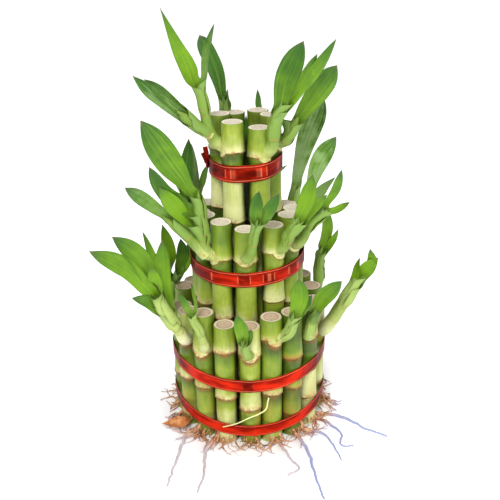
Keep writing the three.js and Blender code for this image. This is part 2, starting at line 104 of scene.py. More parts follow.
class Graph:  # a node tree under construction
    def __init__(self, tree):
        self.tree = tree

    def node(self, kind, settings=None, values=None):
        made = self.tree.nodes.new(kind)
        for name, value in (settings or {}).items():
            if name == "stops":
                ramp = made.color_ramp
                while len(ramp.elements) < len(value):
                    ramp.elements.new(0.5)
                for element, (place, colour) in zip(ramp.elements, value):
                    element.position = place
                    element.color = colour
            elif name == "items":
                for socketKind, label in value:
                    made.capture_items.new(socketKind, label)
            else:
                setattr(made, name, value)
        for key, value in (values or {}).items():
            socket = pick(made.inputs, key)
            for one in value if isinstance(value, list) else [value]:
                if isinstance(one, Wire):
                    self.tree.links.new(one.socket, socket)
                else:
                    socket.default_value = one
        shown = [s for s in made.outputs if s.enabled]
        return Wire(self, shown[0]) if shown else made

    def calc(self, operation, *values):  # numbers through Math, vectors through Vector Math
        wide = [isinstance(v, (tuple, Vector)) or isinstance(v, Wire) and v.socket.type in ("VECTOR", "RGBA")
                for v in values]
        if not any(wide):
            return self.node("ShaderNodeMath", {"operation": operation}, dict(enumerate(values)))
        if operation == "MULTIPLY" and not all(wide):
            vector, number = values if wide[0] else reversed(values)
            return self.node("ShaderNodeVectorMath", {"operation": "SCALE"}, {0: vector, 3: number})
        return self.node("ShaderNodeVectorMath", {"operation": operation}, dict(enumerate(values)))

    def named(self, name):  # a value kept on the mesh
        if self.tree.type == "SHADER":
            return self.node("ShaderNodeAttribute", {"attribute_name": name}).out("Fac")
        return self.node("GeometryNodeInputNamedAttribute", {"data_type": "FLOAT"}, {"Name": name})

    def parts(self, vector):
        split = self.node("ShaderNodeSeparateXYZ", {}, {0: vector})
        return split, split.out("Y"), split.out("Z")

    def join(self, x, y, z):
        return self.node("ShaderNodeCombineXYZ", {}, {0: x, 1: y, 2: z})

    def noise(self, vector, size=1, detail=2):  # size is in the vector's own unit
        return self.node("ShaderNodeTexNoise", {}, {"Vector": vector, "Scale": 1 / size, "Detail": detail})

    def smooth(self, value, low, high):  # from 0 to 1 between low and high
        settings = {"interpolation_type": "SMOOTHSTEP"}
        return self.node("ShaderNodeMapRange", settings, {"Value": value, "From Min": low, "From Max": high})

    def hump(self, value, middle, width):  # 1 at the middle, falling away on both sides
        return self.calc("EXPONENT", ((value - middle) / width) ** 2 * -1)

    def choose(self, factor, first, second):  # first where factor is 0, second where it is 1
        return first + (second - first) * factor

    def mix(self, factor, first, second, blend="MIX"):
        settings = {"data_type": "RGBA", "blend_type": blend, "clamp_factor": True}
        return self.node("ShaderNodeMix", settings, {"Factor": factor, "A": first, "B": second})

    def ramp(self, value, stops):
        return self.node("ShaderNodeValToRGB", {"stops": stops}, {0: value})

    def coats(self, colour, look, layers):  # paints of a look over a colour, one after the other
        for name, amount in layers:
            colour = self.mix(amount, colour, look[name])
        return colour

    def keep(self, geometry, values):  # fixes values of a geometry's points under names of its own
        kinds = {"VECTOR": "VECTOR", "VALUE": "FLOAT"}
        items = [(kinds[value.socket.type], label) for label, value in values.items()]
        return self.node("GeometryNodeCaptureAttribute", {"items": items}, {"Geometry": geometry, **values})

    def line(self, geometry):
        return self.node("GeometryNodeMeshToCurve", {}, {"Mesh": geometry})

    def circle(self, points):
        return self.node("GeometryNodeCurvePrimitiveCircle", {}, {"Resolution": points, "Radius": 1})

    def sweep(self, curve, rim, scale=1):  # a closed skin along a curve
        values = {"Curve": curve, "Profile Curve": rim, "Scale": scale, "Fill Caps": True}
        return self.node("GeometryNodeCurveToMesh", {}, values)

    def move(self, geometry, how, value):  # how is Offset or Position
        return self.node("GeometryNodeSetPosition", {}, {"Geometry": geometry, how: value})


def newTree(name, inputs):  # a geometry tree whose inputs are named by kind; its graph and its input wires
    tree = bpy.data.node_groups.new(name, "GeometryNodeTree")
    kinds = {"Geometry": "Geometry", **{label: kind for kind, labels in inputs.items() for label in labels}}
    for label, kind in kinds.items():
        tree.interface.new_socket(label, in_out="INPUT", socket_type=f"NodeSocket{kind}")
    tree.interface.new_socket("Geometry", in_out="OUTPUT", socket_type="NodeSocketGeometry")
    graph = Graph(tree)
    start = graph.node("NodeGroupInput")
    return graph, {label: start.out(label) for label in kinds}


def endTree(graph, geometry, material, names):  # keeps named values, makes it real and paints it
    for name, value in names.items():
        values = {"Geometry": geometry, "Name": name, "Value": value}
        geometry = graph.node("GeometryNodeStoreNamedAttribute", {}, values)
    real = graph.node("GeometryNodeRealizeInstances", {}, {"Geometry": geometry})
    return graph.node("GeometryNodeSetMaterial", {}, {"Geometry": real, "Material": material})


def closeTree(graph, geometry):
    graph.node("NodeGroupOutput", {}, {"Geometry": geometry})
    return graph.tree


def grow(tree, lines, inputs):  # runs a tree on lines of points and returns the plain mesh, in metres
    points, edges, along, thick = [], [], [], []
    for line, widths in lines:
        edges += [(len(points) + i, len(points) + i + 1) for i in range(len(line) - 1)]
        if (line[0] - line[-1]).length < 1e-6 and len(line) > 2:  # a closed line
            edges[-1] = (edges[-1][0], len(points))
            line = line[:-1]
        along += [i / max(len(line) - 1, 1) for i in range(len(line))]
        thick += [widths[i] if isinstance(widths, list) else widths for i in range(len(line))]
        points += [tuple(p) for p in line]
    mesh = bpy.data.meshes.new("line")
    mesh.from_pydata(points, edges, [])
    for name, values in {"along": along, "thick": thick}.items():
        mesh.attributes.new(name, "FLOAT", "POINT").data.foreach_set("value", values)
    item = bpy.data.objects.new("line", mesh)
    bpy.context.scene.collection.objects.link(item)
    modifier = item.modifiers.new("shape", "NODES")
    modifier.node_group = tree
    for socket in tree.interface.items_tree:
        if socket.in_out == "INPUT" and socket.name in inputs:
            value = inputs[socket.name]
            modifier[socket.identifier] = float(value) if socket.socket_type == "NodeSocketFloat" else value
    made = bpy.data.meshes.new_from_object(item.evaluated_get(bpy.context.evaluated_depsgraph_get()))
    item.modifiers.remove(modifier)
    bpy.data.objects.remove(item)
    made.transform(Matrix.Scale(mm, 4))
    return made


pathSteps = 16


def smoothPath(points, count):  # a smooth line through the points, in even steps
    known = [Vector(p) for p in points]
    known = [known[0] * 2 - known[1], *known, known[-1] * 2 - known[-2]]
    fine = []
    for a, b, c, d in zip(known, known[1:], known[2:], known[3:]):
        first = (b - a).length ** 0.5
        second = first + (c - b).length ** 0.5
        third = second + (d - c).length ** 0.5
        for step in range(pathSteps):
            t = first + (second - first) * step / pathSteps
            ab = a.lerp(b, t / first)
            bc = b.lerp(c, (t - first) / (second - first))
            cd = c.lerp(d, (t - second) / (third - second))
            abc = ab.lerp(bc, t / second)
            bcd = bc.lerp(cd, (t - first) / (third - first))
            fine.append(abc.lerp(bcd, (t - first) / (second - first)))
    fine.append(known[-2])
    track = np.array(fine)
    passed = np.concatenate([[0], np.cumsum(np.linalg.norm(np.diff(track, axis=0), axis=1))])
    places = np.linspace(0, passed[-1], count)
    return [Vector(p) for p in np.stack([np.interp(places, passed, track[:, i]) for i in range(3)], 1)]


def flatSkin(g, geometry, points):  # a closed skin along a line; its rail knows where each point belongs
    share = g.node("GeometryNodeSplineParameter")
    rail = g.keep(g.line(geometry), {
        "Place": g.node("GeometryNodeInputPosition"), "Heading": g.node("GeometryNodeInputTangent"),
        "Length": share.out("Length")})
    rim = g.keep(g.circle(points), {"Around": share})
    return g.sweep(rail, rim), rail, rim.out("Around") * turn


def tapered(points, count, foot, tip):  # a smooth line and its radii from foot to tip
    return smoothPath(points, count), [foot + (tip - foot) * i / (count - 1) for i in range(count)]


def newPiece(name, meshes):  # joins finished meshes into one piece
    items = []
    for mesh in meshes:
        item = bpy.data.objects.new(name, mesh)
        bpy.context.scene.collection.objects.link(item)
        items.append(item)
    if len(items) > 1:
        with bpy.context.temp_override(active_object=items[0], selected_editable_objects=items):
            bpy.ops.object.join()
    piece = items[0]
    piece.name = name
    piece.data.name = name
    return piece


def nodeDistance(g, above, spacing, bud):  # mm above the nearest node, negative below it
    half = spacing * 0.5
    wrapped = g.calc("WRAP", above, half, half * -1)
    nearest = g.choose(g.calc("GREATER_THAN", above, half * -1), wrapped, above)
    return g.calc("MAXIMUM", nearest, bud)


# Finishes. Lengths in them are millimetres too.
def startFinish(name):
    material = bpy.data.materials.new(name)
    material.use_nodes = True
    material.node_tree.nodes.clear()
    g = Graph(material.node_tree)
    return material, g, g.node("ShaderNodeTexCoord").out("Object") * (1 / mm)


def endFinish(g, height, depth, values):
    bump = g.node("ShaderNodeBump", {}, {"Height": height, "Distance": depth * mm, "Strength": 1})
    shader = g.node("ShaderNodeBsdfPrincipled", {}, {"Normal": bump, **values})
    g.node("ShaderNodeOutputMaterial", {}, {"Surface": shader})


caneLook = {
    "shades": [(0, paint(54, 76, 12)), (0.35, paint(98, 124, 26)), (0.65, paint(138, 154, 46)),
               (1, paint(198, 200, 136))],
    "flankShade": paint(34, 46, 8), "scar": paint(104, 62, 28), "stain": paint(166, 104, 44),
    "warm": paint(150, 120, 40), "warmBelow": (50, 6), "broadBelow": (75, 65), "darkReach": 10,
    "paleReach": 14, "scarWidth": 0.3, "roughness": 0.44, "shine": 0.35, "depth": 0.05,
}


def makeCaneFinish():
    look = caneLook
    material, g, place = startFinish("caneSkin")
    tone, dusk, high = g.named("tone"), g.named("dusk"), g.named("above")
    patch = g.noise(place, 3.5, 3)
    wash = g.noise(place * (1, 1, 0.3), 5, 2)
    streak = g.noise(place * (1, 1, 0.05), 0.5, 2)
    node = nodeDistance(g, high, g.named("spacing"), g.named("bud")) + (g.noise(place, 1.2, 2) - 0.5) * 0.5
    below = g.smooth(node, -look["darkReach"], -1) * g.smooth(node, 0.2, -0.2)
    above = g.smooth(node, look["paleReach"], 0.5) * g.smooth(node, -0.2, 0.2)
    shade = tone + (wash - 0.5) * 0.5 + (patch - 0.5) * 0.25 + (streak - 0.5) * 0.22
    shade = shade + above * 0.24 + g.smooth(node, 5, 0.5) * above * 0.22 - below * dusk * (0.2 + tone * 0.6)
    height = g.parts(place)[2]
    low = g.smooth(height, *look["warmBelow"]) * g.smooth(g.noise(place * (1, 1, 0.3), 7, 3), 0.42, 0.66)
    broad = g.smooth(height, *look["broadBelow"])
    stained = g.hump(node, 0.5, 1.3 + broad * 0.6) * g.smooth(g.noise(place, 1.8, 3) + broad * 0.1, 0.5, 0.66)
    line = g.hump(node, 0, look["scarWidth"] * (1 + broad * 1.1))
    line = line + g.hump(node, -1.7, 0.18) * (0.4 + broad * 0.5)
    scar = line * (0.4 + g.noise(place, 2.2, 2) * 0.9)
    fleck = g.smooth(g.noise(place * (1, 1, 0.4), 0.45, 1), 0.74, 0.8)
    # Painted shade on the flanks, where neighbouring canes touch and shade each other; stronger below the top
    # node.
    flankShade = g.smooth(g.named("front"), 0.62, 0.05) * (0.4 + g.smooth(high, 3, -5) * 0.5)
    colour = g.coats(g.ramp(shade, look["shades"]), look, [
        ("warm", low * 0.5), ("stain", stained * 0.75), ("scar", scar), ("stain", fleck * 0.35),
        ("flankShade", flankShade)])
    rough = look["roughness"] + scar * 0.3 + (patch - 0.5) * 0.12
    values = {"Base Color": colour, "Roughness": rough, "Specular IOR Level": look["shine"]}
    endFinish(g, streak * 0.5 + patch, look["depth"], values)
    return material


cutLook = {
    "pith": paint(228, 216, 196), "old": paint(202, 178, 150), "fleck": paint(140, 106, 80),
    "rim": paint(238, 230, 204), "edge": paint(148, 128, 78), "oldBelow": (97, 85), "depth": 0.12,
}


def makeCutFinish():
    look = cutLook
    material, g, place = startFinish("cutEnd")
    reach = g.named("fromAxis") + (g.noise(place, 1.4, 2) - 0.5) * 0.09
    old = g.smooth(g.parts(place)[2], *look["oldBelow"])
    patch = g.noise(place, 1.6, 3)
    pores = g.smooth(g.noise(place, 0.42, 2), 0.56, 0.68) * g.smooth(reach, 0.8, 0.66)
    ring = g.hump(reach, 0.66, 0.035)
    rim = g.mix(old * 0.5, look["rim"], look["old"])
    colour = g.coats(look["pith"], {**look, "rim": rim}, [
        ("old", g.smooth(patch + old * 0.5, 0.45, 1)), ("fleck", pores * (0.35 + old * 0.5)),
        ("fleck", ring * (0.25 + old * 0.5)), ("rim", g.smooth(reach, 0.7, 0.78) * 0.8),
        ("edge", g.smooth(reach, 0.9, 0.97) * (0.6 + old * 0.4))])
    endFinish(g, patch - pores * 0.6, look["depth"], {"Base Color": colour, "Roughness": 0.75 + pores * 0.1})
    return material


shootLook = {
    "foot": paint(186, 194, 116), "bright": paint(120, 148, 44), "blue": paint(88, 122, 52),
    "cream": paint(226, 222, 184), "stain": paint(168, 108, 52), "depth": 0.06, "rings": 4,
    "shine": 0.35,
}


def makeShootFinish():
    look = shootLook
    material, g, place = startFinish("shootSkin")
    along, tone, cream = g.named("along"), g.named("tone"), g.named("cream")
    patch = g.noise(place, 2.5, 3)
    streak = g.noise(place * (1, 1, 0.2), 0.5, 2)
    blotched = 0.6 + patch * 0.6
    whitish = g.smooth(along, 0.42, 0.2) * g.smooth(cream, 0.3, 1.2)
    stained = g.smooth(along, 0.16, 0.02) * g.smooth(g.noise(place, 1.7, 3), 0.5, 0.64)
    ring = g.hump(g.calc("FRACT", along * look["rings"] + patch * 0.12), 0.5, 0.03)
    colour = g.coats(look["blue"], look, [
        ("bright", tone), ("foot", g.smooth(along, 0.4, 0) * blotched),
        ("foot", g.smooth(along, 0.9, 0.3) * g.calc("MINIMUM", cream, 1) * 0.85),
        ("cream", whitish * blotched), ("stain", stained * 0.8), ("stain", ring * 0.3)])
    colour = g.mix(g.smooth(streak, 0.4, 0.7) * 0.2, colour, look["blue"], "MULTIPLY")
    values = {"Base Color": colour, "Roughness": 0.46 + patch * 0.1, "Specular IOR Level": look["shine"]}
    endFinish(g, streak * 0.6 + ring * -2, look["depth"], values)
    return material


bladeLook = {
    "bright": paint(102, 143, 14), "deep": paint(50, 92, 26), "tip": paint(56, 80, 50),
    "sheath": paint(113, 142, 52), "young": paint(196, 208, 124), "rib": paint(146, 178, 72),
    "under": paint(132, 160, 104), "dry": paint(104, 92, 58), "scar": paint(160, 120, 66), "veins": 7,
    "shine": 0.17, "depth": 0.06,
}


def makeBladeFinish():
    look = bladeLook
    material, g, place = startFinish("bladeSkin")
    along, across, tone, opened = g.named("along"), g.named("across"), g.named("tone"), g.named("open")
    patch = g.noise(place, 6, 2)
    blotch = g.noise(place, 2.2, 2)
    vein = g.noise(g.join(across * look["veins"], along * 1.5, tone * 31), 1, 3)
    fine = g.noise(g.join(across * look["veins"] * 4, along * 2, tone * 17), 1, 1)
    fresh = tone + (patch - 0.5) * 0.6 - g.smooth(along, 0.5, 1.05) * 0.45
    # Patches of the paler underside colour on the blades that are given pale.
    palePatch = g.named("pale") * g.smooth(patch + vein * 0.6 - along * 0.5, 0.2, 0.7)
    rib = g.hump(across, 0, 0.055) * g.smooth(along, 0.85, 0.1)
    low = g.named("low") * (0.8 + (patch - 0.5) * 0.4 + (blotch - 0.5) * 0.4)
    sheath = g.mix(g.calc("MINIMUM", g.named("cream"), 1) * 0.6, look["sheath"], look["young"])
    edge = g.calc("ABSOLUTE", across)
    scar = g.hump(g.named("reach"), 0.8, 0.45) * g.smooth(blotch, 0.3, 0.6)
    colour = g.coats(look["deep"], {**look, "sheath": sheath}, [
        ("bright", g.smooth(fresh, 0, 0.9)),
        ("under", g.calc("MAXIMUM", g.smooth(g.named("face"), 0.3, -0.3) * 0.6, palePatch)),
        ("rib", g.smooth(vein, 0.4, 0.75) * 0.2), ("deep", g.smooth(fine, 0.5, 0.75) * 0.16),
        ("rib", rib * 0.5), ("sheath", low),
        ("deep", g.smooth(edge, 0.86, 1) * g.smooth(opened, 0.2, 0.8) * 0.4),
        ("scar", g.smooth(edge, 0.94, 1) * g.smooth(opened, 0.8, 0) * 0.15), ("scar", scar * 0.6),
        ("tip", g.smooth(along + (patch - 0.5) * 0.3, 0.86, 1) * 0.6),
        ("dry", g.smooth(along + (blotch - 0.5) * 0.06, 0.965, 0.99) * 0.8)])
    values = {"Base Color": colour, "Roughness": 0.44 + vein * 0.14, "Specular IOR Level": look["shine"]}
    endFinish(g, vein + fine * 0.4 + rib, look["depth"], values)
    return material


rootLook = {
    "near": paint(164, 94, 48), "pale": paint(208, 166, 124), "far": paint(200, 190, 196),
    "blue": paint(158, 166, 208), "fresh": paint(224, 222, 156), "dark": paint(108, 60, 32),
    "farFrom": (43, 52), "blueFrom": (21, 31), "depth": 0.1,
}


def makeRootFinish():
    look = rootLook
    material, g, place = startFinish("rootSkin")
    patch = g.noise(place, 1.6, 3)
    away = g.calc("LENGTH", (place - tuple(tower)) * (1, 1, 0))
    far = g.coats(look["far"], look, [
        ("blue", g.smooth(g.parts(place)[0], *look["blueFrom"])),
        ("near", g.smooth(g.noise(place, 2.5, 2), 0.5, 0.7) * 0.2)])
    colour = g.coats(look["near"], {**look, "far": far}, [
        ("pale", g.smooth(patch, 0.3, 0.7)), ("dark", g.smooth(g.noise(place, 3, 2), 0.5, 0.64) * 0.8),
        ("far", g.smooth(away, *look["farFrom"])), ("fresh", g.named("cream"))])
    endFinish(g, patch, look["depth"], {"Base Color": colour, "Roughness": 0.6 + patch * 0.2})
    return material


dryLook = {
    "body": paint(184, 106, 50), "dark": paint(116, 60, 28), "light": paint(216, 156, 98), "depth": 0.2,
}


def makeDryFinish():
    look = dryLook
    material, g, place = startFinish("drySheath")
    fibre = g.noise(g.join(g.named("across") * 14, g.named("along") * 3, 0), 1, 3)
    patch = g.noise(place, 2.4, 3)
    colour = g.coats(look["body"], look, [
        ("light", g.smooth(patch, 0.35, 0.7)), ("dark", g.smooth(fibre, 0.5, 0.75) * 0.7)])
    endFinish(g, fibre, look["depth"], {"Base Color": colour, "Roughness": 0.6 + patch * 0.2})
    return material


foilLook = {
    "bright": paint(216, 44, 18), "deep": paint(142, 20, 8), "dark": paint(50, 9, 5),
    "line": paint(255, 150, 112), "lines": (0.78, 0.045), "depth": 0.07, "metal": 0.45, "roughness": 0.34,
    "shine": 0.2, "shineColour": paint(160, 40, 30),
}


def makeFoilFinish():
    look = foilLook
    material, g, place = startFinish("foil")
    along, across, tone, panel = g.named("along"), g.named("across"), g.named("tone"), g.named("panel")
    high = g.calc("ABSOLUTE", across)
    sheen = g.noise(g.join(along / 16, across * 0.9, tone * 9), 1, 2)
    glint = g.noise(g.join(along / 2.5, across * 3, tone * 5), 1, 3)
    middle, width = look["lines"]
    inside = g.smooth(high, middle - 0.16, middle - 0.36)
    shadow = panel * (0.6 + inside * 0.4) * (0.75 + (glint - 0.5) * 1.3)
    borderHighlight = g.hump(panel, 0.35, 0.14) * inside * g.smooth(tone, 0.3, 0.5)
    line = g.hump(high, middle, width) * (0.4 + sheen)
    # Painted light on the foil: the sheen noise moves it between bright and deep painted reflection, glints
    # break up the dark painted reflection, a painted highlight borders it on the upper ribbons, and each
    # embossed edge line gets a painted highlight with a dark line just inside it.
    colour = g.coats(look["bright"], look, [
        ("deep", g.smooth(sheen, 0.35, 0.65)), ("dark", g.smooth(tone, 0.2, 0.55) * 0.25), ("dark", shadow),
        ("line", borderHighlight * 0.35), ("dark", g.hump(high, middle - 0.13, width) * 0.5), ("line", line * 0.5),
        ("dark", g.smooth(high, 0.93, 1) * 0.6)])
    fold = g.noise(place * (1, 1, 0.3), 0.8, 3)
    endFinish(g, fold + line * 1.5, look["depth"], {
        "Base Color": colour, "Roughness": look["roughness"] + (sheen - 0.5) * 0.2, "Metallic": look["metal"],
        "Specular IOR Level": look["shine"], "Specular Tint": look["shineColour"]})
    return material


# The three rings. A seen cane: its bearing, its height, its top node below the cut and its internode.
# The rest of each ring is filled evenly from its last cane round the back to its first.
tiers = {
    "top": {
        "count": 6, "outer": 17.3, "radius": 5.2, "height": 161, "stub": 15, "internode": 32, "lowest": 95,
        "seen": [(-95, 162, 16, 30), (-29, 161, 14, 34), (32, 158, 13.5, 32), (90, 161.5, 15, 33),
                 (148, 161, 15, 31), (205, 160, 15, 32)],
    },
    "middle": {
        "count": 12, "outer": 28.5, "radius": 5.3, "height": 113.5, "stub": 14.5, "internode": 31,
        "lowest": 50,
        "seen": [(-60.5, 115.5, 16, 30), (-32, 115, 18, 32), (-2, 112.5, 15.5, 33), (32.5, 113, 12.8, 26.2),
                 (60, 115, 15, 30), (89, 114, 15, 31), (118.5, 112, 15, 30)],
    },
    "base": {
        "count": 18, "outer": 40, "radius": 5.35, "height": 67, "stub": 14, "internode": 28, "lowest": 14,
        "seen": [(-84.5, 62, 12, 27), (-61.5, 66, 15, 22.5), (-40, 70, 20, 21), (-20, 66.5, 14, 26.5),
                 (0.5, 66.5, 15, 31), (18.3, 70.5, 11, 31), (37.4, 70, 24, 17), (58, 68, 15.5, 18.2),
                 (84, 64, 14, 36), (104, 66, 12, 28)],
    },
}


unevenCut = {"height": 1.6, "step": 2.4}  # how the hidden canes differ in height


def ringOfCanes(ringName, tier):
    first, last = tier["seen"][0][0], tier["seen"][-1][0]
    missing = tier["count"] - len(tier["seen"])
    rows = list(tier["seen"])
    for i in range(1, missing + 1):
        height = tier["height"] + unevenCut["height"] * math.sin(unevenCut["step"] * i)
        bearing = last + (first + 360 - last) * i / (missing + 1)
        rows.append((bearing, height, tier["stub"], tier["internode"]))
    return [{
        "name": f"{ringName}_{place}", "ring": ringName, "bearing": math.radians(bearing),
        "axis": tier["outer"] - tier["radius"], "radius": tier["radius"], "height": height,
        "nodes": np.arange(height - stub, tier["lowest"], -internode).tolist()[::-1], "internode": internode,
        "lowest": tier["lowest"],
    } for place, (bearing, height, stub, internode) in enumerate(rows, 1)]


canes = {cane["name"]: cane for name, tier in tiers.items() for cane in ringOfCanes(name, tier)}
canes["top_7"] = {  # one more cane in the middle of the top ring, cut so low that the ring hides its end
    "name": "top_7", "ring": "core", "bearing": 0, "axis": 0, "radius": 6.1, "height": 146,
    "nodes": [99, 131], "internode": 32, "lowest": 95,
}


# How pale a seen cane is above its top node, below it and lower down, and how dark it gets under its nodes.
caneTones = {
    "top_1": (0.45, 0.88, 0.3, 0.9), "top_2": (0.52, 0.86, 0.9, 1.15), "top_3": (0.45, 0.58, 0.6, 0.4),
    # top_7, the core cane, is dark all over: painted shade inside the top ring.
    "top_7": (0, 0, 0, 1), "middle_1": (0.3, 0.4, 0.4, 0.6), "middle_2": (0.32, 0.58, 0.6, 0.7),
    "middle_3": (0.4, 0.55, 0.6, 0.5), "middle_4": (0.48, 0.62, 0.5, 0.25), "base_2": (0.75, 0.55, 0.62, 0.9),
    "base_3": (0.5, 0.34, 0.5, 0.3), "base_4": (0.5, 0.52, 0.85, 0.6), "base_5": (0.78, 0.64, 0.42, 0.1),
    "base_6": (0.42, 0.46, 0.55, 1.1), "base_7": (0.16, 0.2, 0.14, 0.5), "base_8": (0.35, 0.1, 1.0, 0.15),
    "base_9": (0.85, 0.8, 0.55, 0.3),
}


def footCentre(node):  # the middle of a packed cane's cut end on the ground
    foot = {(round(v.co.x, 6), round(v.co.y, 6)) for v in node.data.vertices if v.co.z < 1e-6}
    return Vector((sum(x for x, y in foot), sum(y for x, y in foot), 0)) / len(foot) / mm


firstCane = canes["top_1"]
tower = footCentre(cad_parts["cane_top_1"]) - outward(firstCane["bearing"]) * firstCane["axis"]


def onCane(cane, out, across, up):  # a point given outwards, to the right and up from a cane's foot
    away = outward(cane["bearing"]) * (cane["axis"] + out)
    return tower + away + sideways(cane["bearing"]) * across + Vector((0, 0, up))


# Canes: a cut stem with node ridges that sway a little and dip round the bud of its shoot.
caneForm = {
    "sides": 36, "ridge": 0.34, "ridgeHalf": 0.55, "groove": 0.12, "grooveBelow": 1.1, "grooveHalf": 0.5,
    "swell": 0.42, "swellAbove": 6, "swellBelow": 1.6, "sway": 1.1, "lumps": 0.16, "tieReach": 4.2,
    "rimRound": 0.3, "cutRings": (0.86, 0.76, 0.62), "dish": 0.22, "budAcross": 1.2, "budUp": 0.5,
    "budReach": 5, "frontTo": 1.8, "frontTurn": 0.6,  # a front cane's painted flank shade lies behind
    "drawnTones": ((0.25, 0.5), (0.3, 0.7), (0.35, 0.8), (0.4, 1)),  # for a cane that isn't in caneTones
}
nowhere = -500.0  # a height far from every cane


def makeCaneTree():
    form = caneForm
    g, given = newTree("cane", {
        "Float": ["Radius", "Height", "Top node", "Internode", "Bud reach", "Seed", "Dusk"],
        "Vector": ["Foot", "Bud", "Outward", "Ties", "Tones"], "Material": ["Skin", "Cut"]})
    tube = g.sweep(g.line(given["Geometry"]), g.circle(form["sides"]), given["Radius"])

    place = g.node("GeometryNodeInputPosition")
    z = g.parts(place)[2]
    flat = place * (1, 1, 0) - given["Foot"]
    away = g.calc("NORMALIZE", flat)
    spot = away * 0.8 + g.join(given["Seed"] * 7, z * 0.04, given["Seed"] * 3)
    sway = (g.noise(spot, 1, 1) - 0.5) * (2 * form["sway"])
    above = z + sway - given["Top node"]
    toBud = given["Bud reach"] - g.calc("LENGTH", place - given["Bud"])
    fromNode = nodeDistance(g, above, given["Internode"], toBud)

    ridge = g.hump(fromNode, 0, form["ridgeHalf"]) * form["ridge"]
    groove = g.hump(fromNode, -form["grooveBelow"], form["grooveHalf"]) * form["groove"]
    belowIt = g.hump(g.calc("MINIMUM", fromNode, 0), 0, form["swellBelow"])
    swell = g.hump(g.calc("MAXIMUM", fromNode, 0), 0, form["swellAbove"]) * belowIt * form["swell"]
    grain = place * (0.12, 0.12, 0.06) + g.join(given["Seed"] * 9, 0, 0)
    lumps = (g.noise(grain) - 0.5) * (2 * form["lumps"])
    rim = g.smooth(z, given["Height"] - form["rimRound"], given["Height"]) ** 2 * form["rimRound"]
    tied = g.calc("MAXIMUM", *[g.hump(z, tie, form["tieReach"]) for tie in g.parts(given["Ties"])[:2]])
    shaped = g.move(tube, "Offset", away * ((ridge + swell + lumps) * (1 - tied * 0.85) - groove - rim))

    up = g.parts(g.node("GeometryNodeInputNormal"))[2]
    chosen = g.calc("GREATER_THAN", up, 0.9)
    for ring in form["cutRings"]:
        pushed = g.node("GeometryNodeExtrudeMesh", {}, {
            "Mesh": shaped, "Selection": chosen, "Offset Scale": 0, "Individual": False})
        chosen = pushed.out("Top")
        shaped = g.node("GeometryNodeScaleElements", {}, {
            "Geometry": pushed, "Selection": chosen, "Scale": ring})
    reach = g.calc("LENGTH", flat) / given["Radius"]
    nearTop = g.calc("GREATER_THAN", z, given["Height"] - 0.01)
    shaped = g.move(shaped, "Offset", g.join(0, 0, g.smooth(reach, 0.9, 0.4) * nearTop * -form["dish"]))

    stub, under, lower = g.parts(given["Tones"])
    level = g.calc("MAXIMUM", above, toBud)
    tone = g.choose(g.calc("GREATER_THAN", level, given["Internode"] * -1), lower, under)
    skin = endTree(g, shaped, given["Skin"], {
        "above": above, "spacing": given["Internode"], "bud": toBud, "fromAxis": reach, "dusk": given["Dusk"],
        "tone": g.choose(g.calc("GREATER_THAN", level, 0), tone, stub),
        "front": g.calc("DOT_PRODUCT", away, given["Outward"])})
    steep = g.calc("GREATER_THAN", g.calc("ABSOLUTE", up), 0.85)
    painted = g.node("GeometryNodeSetMaterial", {}, {
        "Geometry": skin, "Selection": steep, "Material": given["Cut"]})
    return closeTree(g, g.node("GeometryNodeSetShadeSmooth", {}, {
        "Geometry": painted, "Shade Smooth": 1 - steep}))


levelForm = {
    "low": (0, 0.15, 0.4), "high": (0.3, 0.2, 0.1, 0), "below": 3, "belowShoot": 7, "above": 3.1,
    "atNode": 0.35, "plain": 3, "hidden": 12, "hiddenTo": 8, "least": 0.09,
}


def caneLevels(cane, hasShoot):  # heights of a cane's cross sections, close together at the nodes
    form, height = levelForm, cane["height"]
    levels = {*form["low"], *(height - under for under in form["high"])}
    for node in cane["nodes"]:
        below = form["belowShoot" if hasShoot and node == cane["nodes"][-1] else "below"]
        levels |= set(np.arange(node - below, node + form["above"], form["atNode"]).tolist())
    start = max(cane["lowest"] - form["hiddenTo"], 2)
    levels |= set(np.arange(start, height - 1, form["plain"]).tolist())
    levels |= set(np.arange(2, start, form["hidden"]).tolist())
    kept = []
    for level in sorted(one for one in levels if 0 <= one <= height):
        if not kept or level - kept[-1] > form["least"]:
            kept.append(level)
    kept[-1] = height
    return kept


# Stems, roots and threads: a round tube along a line, which may wander and get lumpy.
tubeForm = {"fixed": 0.35, "upShare": 0.4, "ground": 0.06}


def makeTubeTree():
    form = tubeForm
    g, given = newTree("tube", {
        "Int": ["Sides"], "Float": ["Wander", "Wander size", "Lumps", "Lump size", "Seed", "Tone", "Cream"],
        "Material": ["Skin"]})
    place = g.node("GeometryNodeInputPosition")
    along, thick = g.named("along"), g.named("thick")
    start = g.join(given["Seed"] * 13, given["Seed"] * 5, given["Seed"])
    stray = g.noise(place / given["Wander size"] + start).out("Color")
    offset = (stray - (0.5, 0.5, 0.5)) * (given["Wander"] * g.smooth(along, 0, form["fixed"]) * 2)
    bent = g.move(g.line(given["Geometry"]), "Offset", offset * (1, 1, form["upShare"]))
    tube = g.sweep(bent, g.circle(given["Sides"]), thick)
    lumps = (g.noise(place / given["Lump size"] + start) - 0.5) * given["Lumps"] * 2
    shaped = g.move(tube, "Offset", g.node("GeometryNodeInputNormal") * lumps)
    x, y, z = g.parts(place)
    shaped = g.move(shaped, "Position", g.join(x, y, g.calc("MAXIMUM", z, form["ground"])))
    names = {"along": along, "tone": given["Tone"], "cream": given["Cream"]}
    return closeTree(g, endTree(g, shaped, given["Skin"], names))


def growTube(lines, skin, seed, sides, wander=(0, 4), lumps=(0, 1), tone=0, cream=0):
    return grow(tubeTree, lines, {  # wander and lumps: how much and how large
        "Sides": sides, "Wander": wander[0], "Wander size": wander[1], "Lumps": lumps[0],
        "Lump size": lumps[1], "Seed": seed, "Tone": tone, "Cream": cream, "Skin": finishes[skin]})


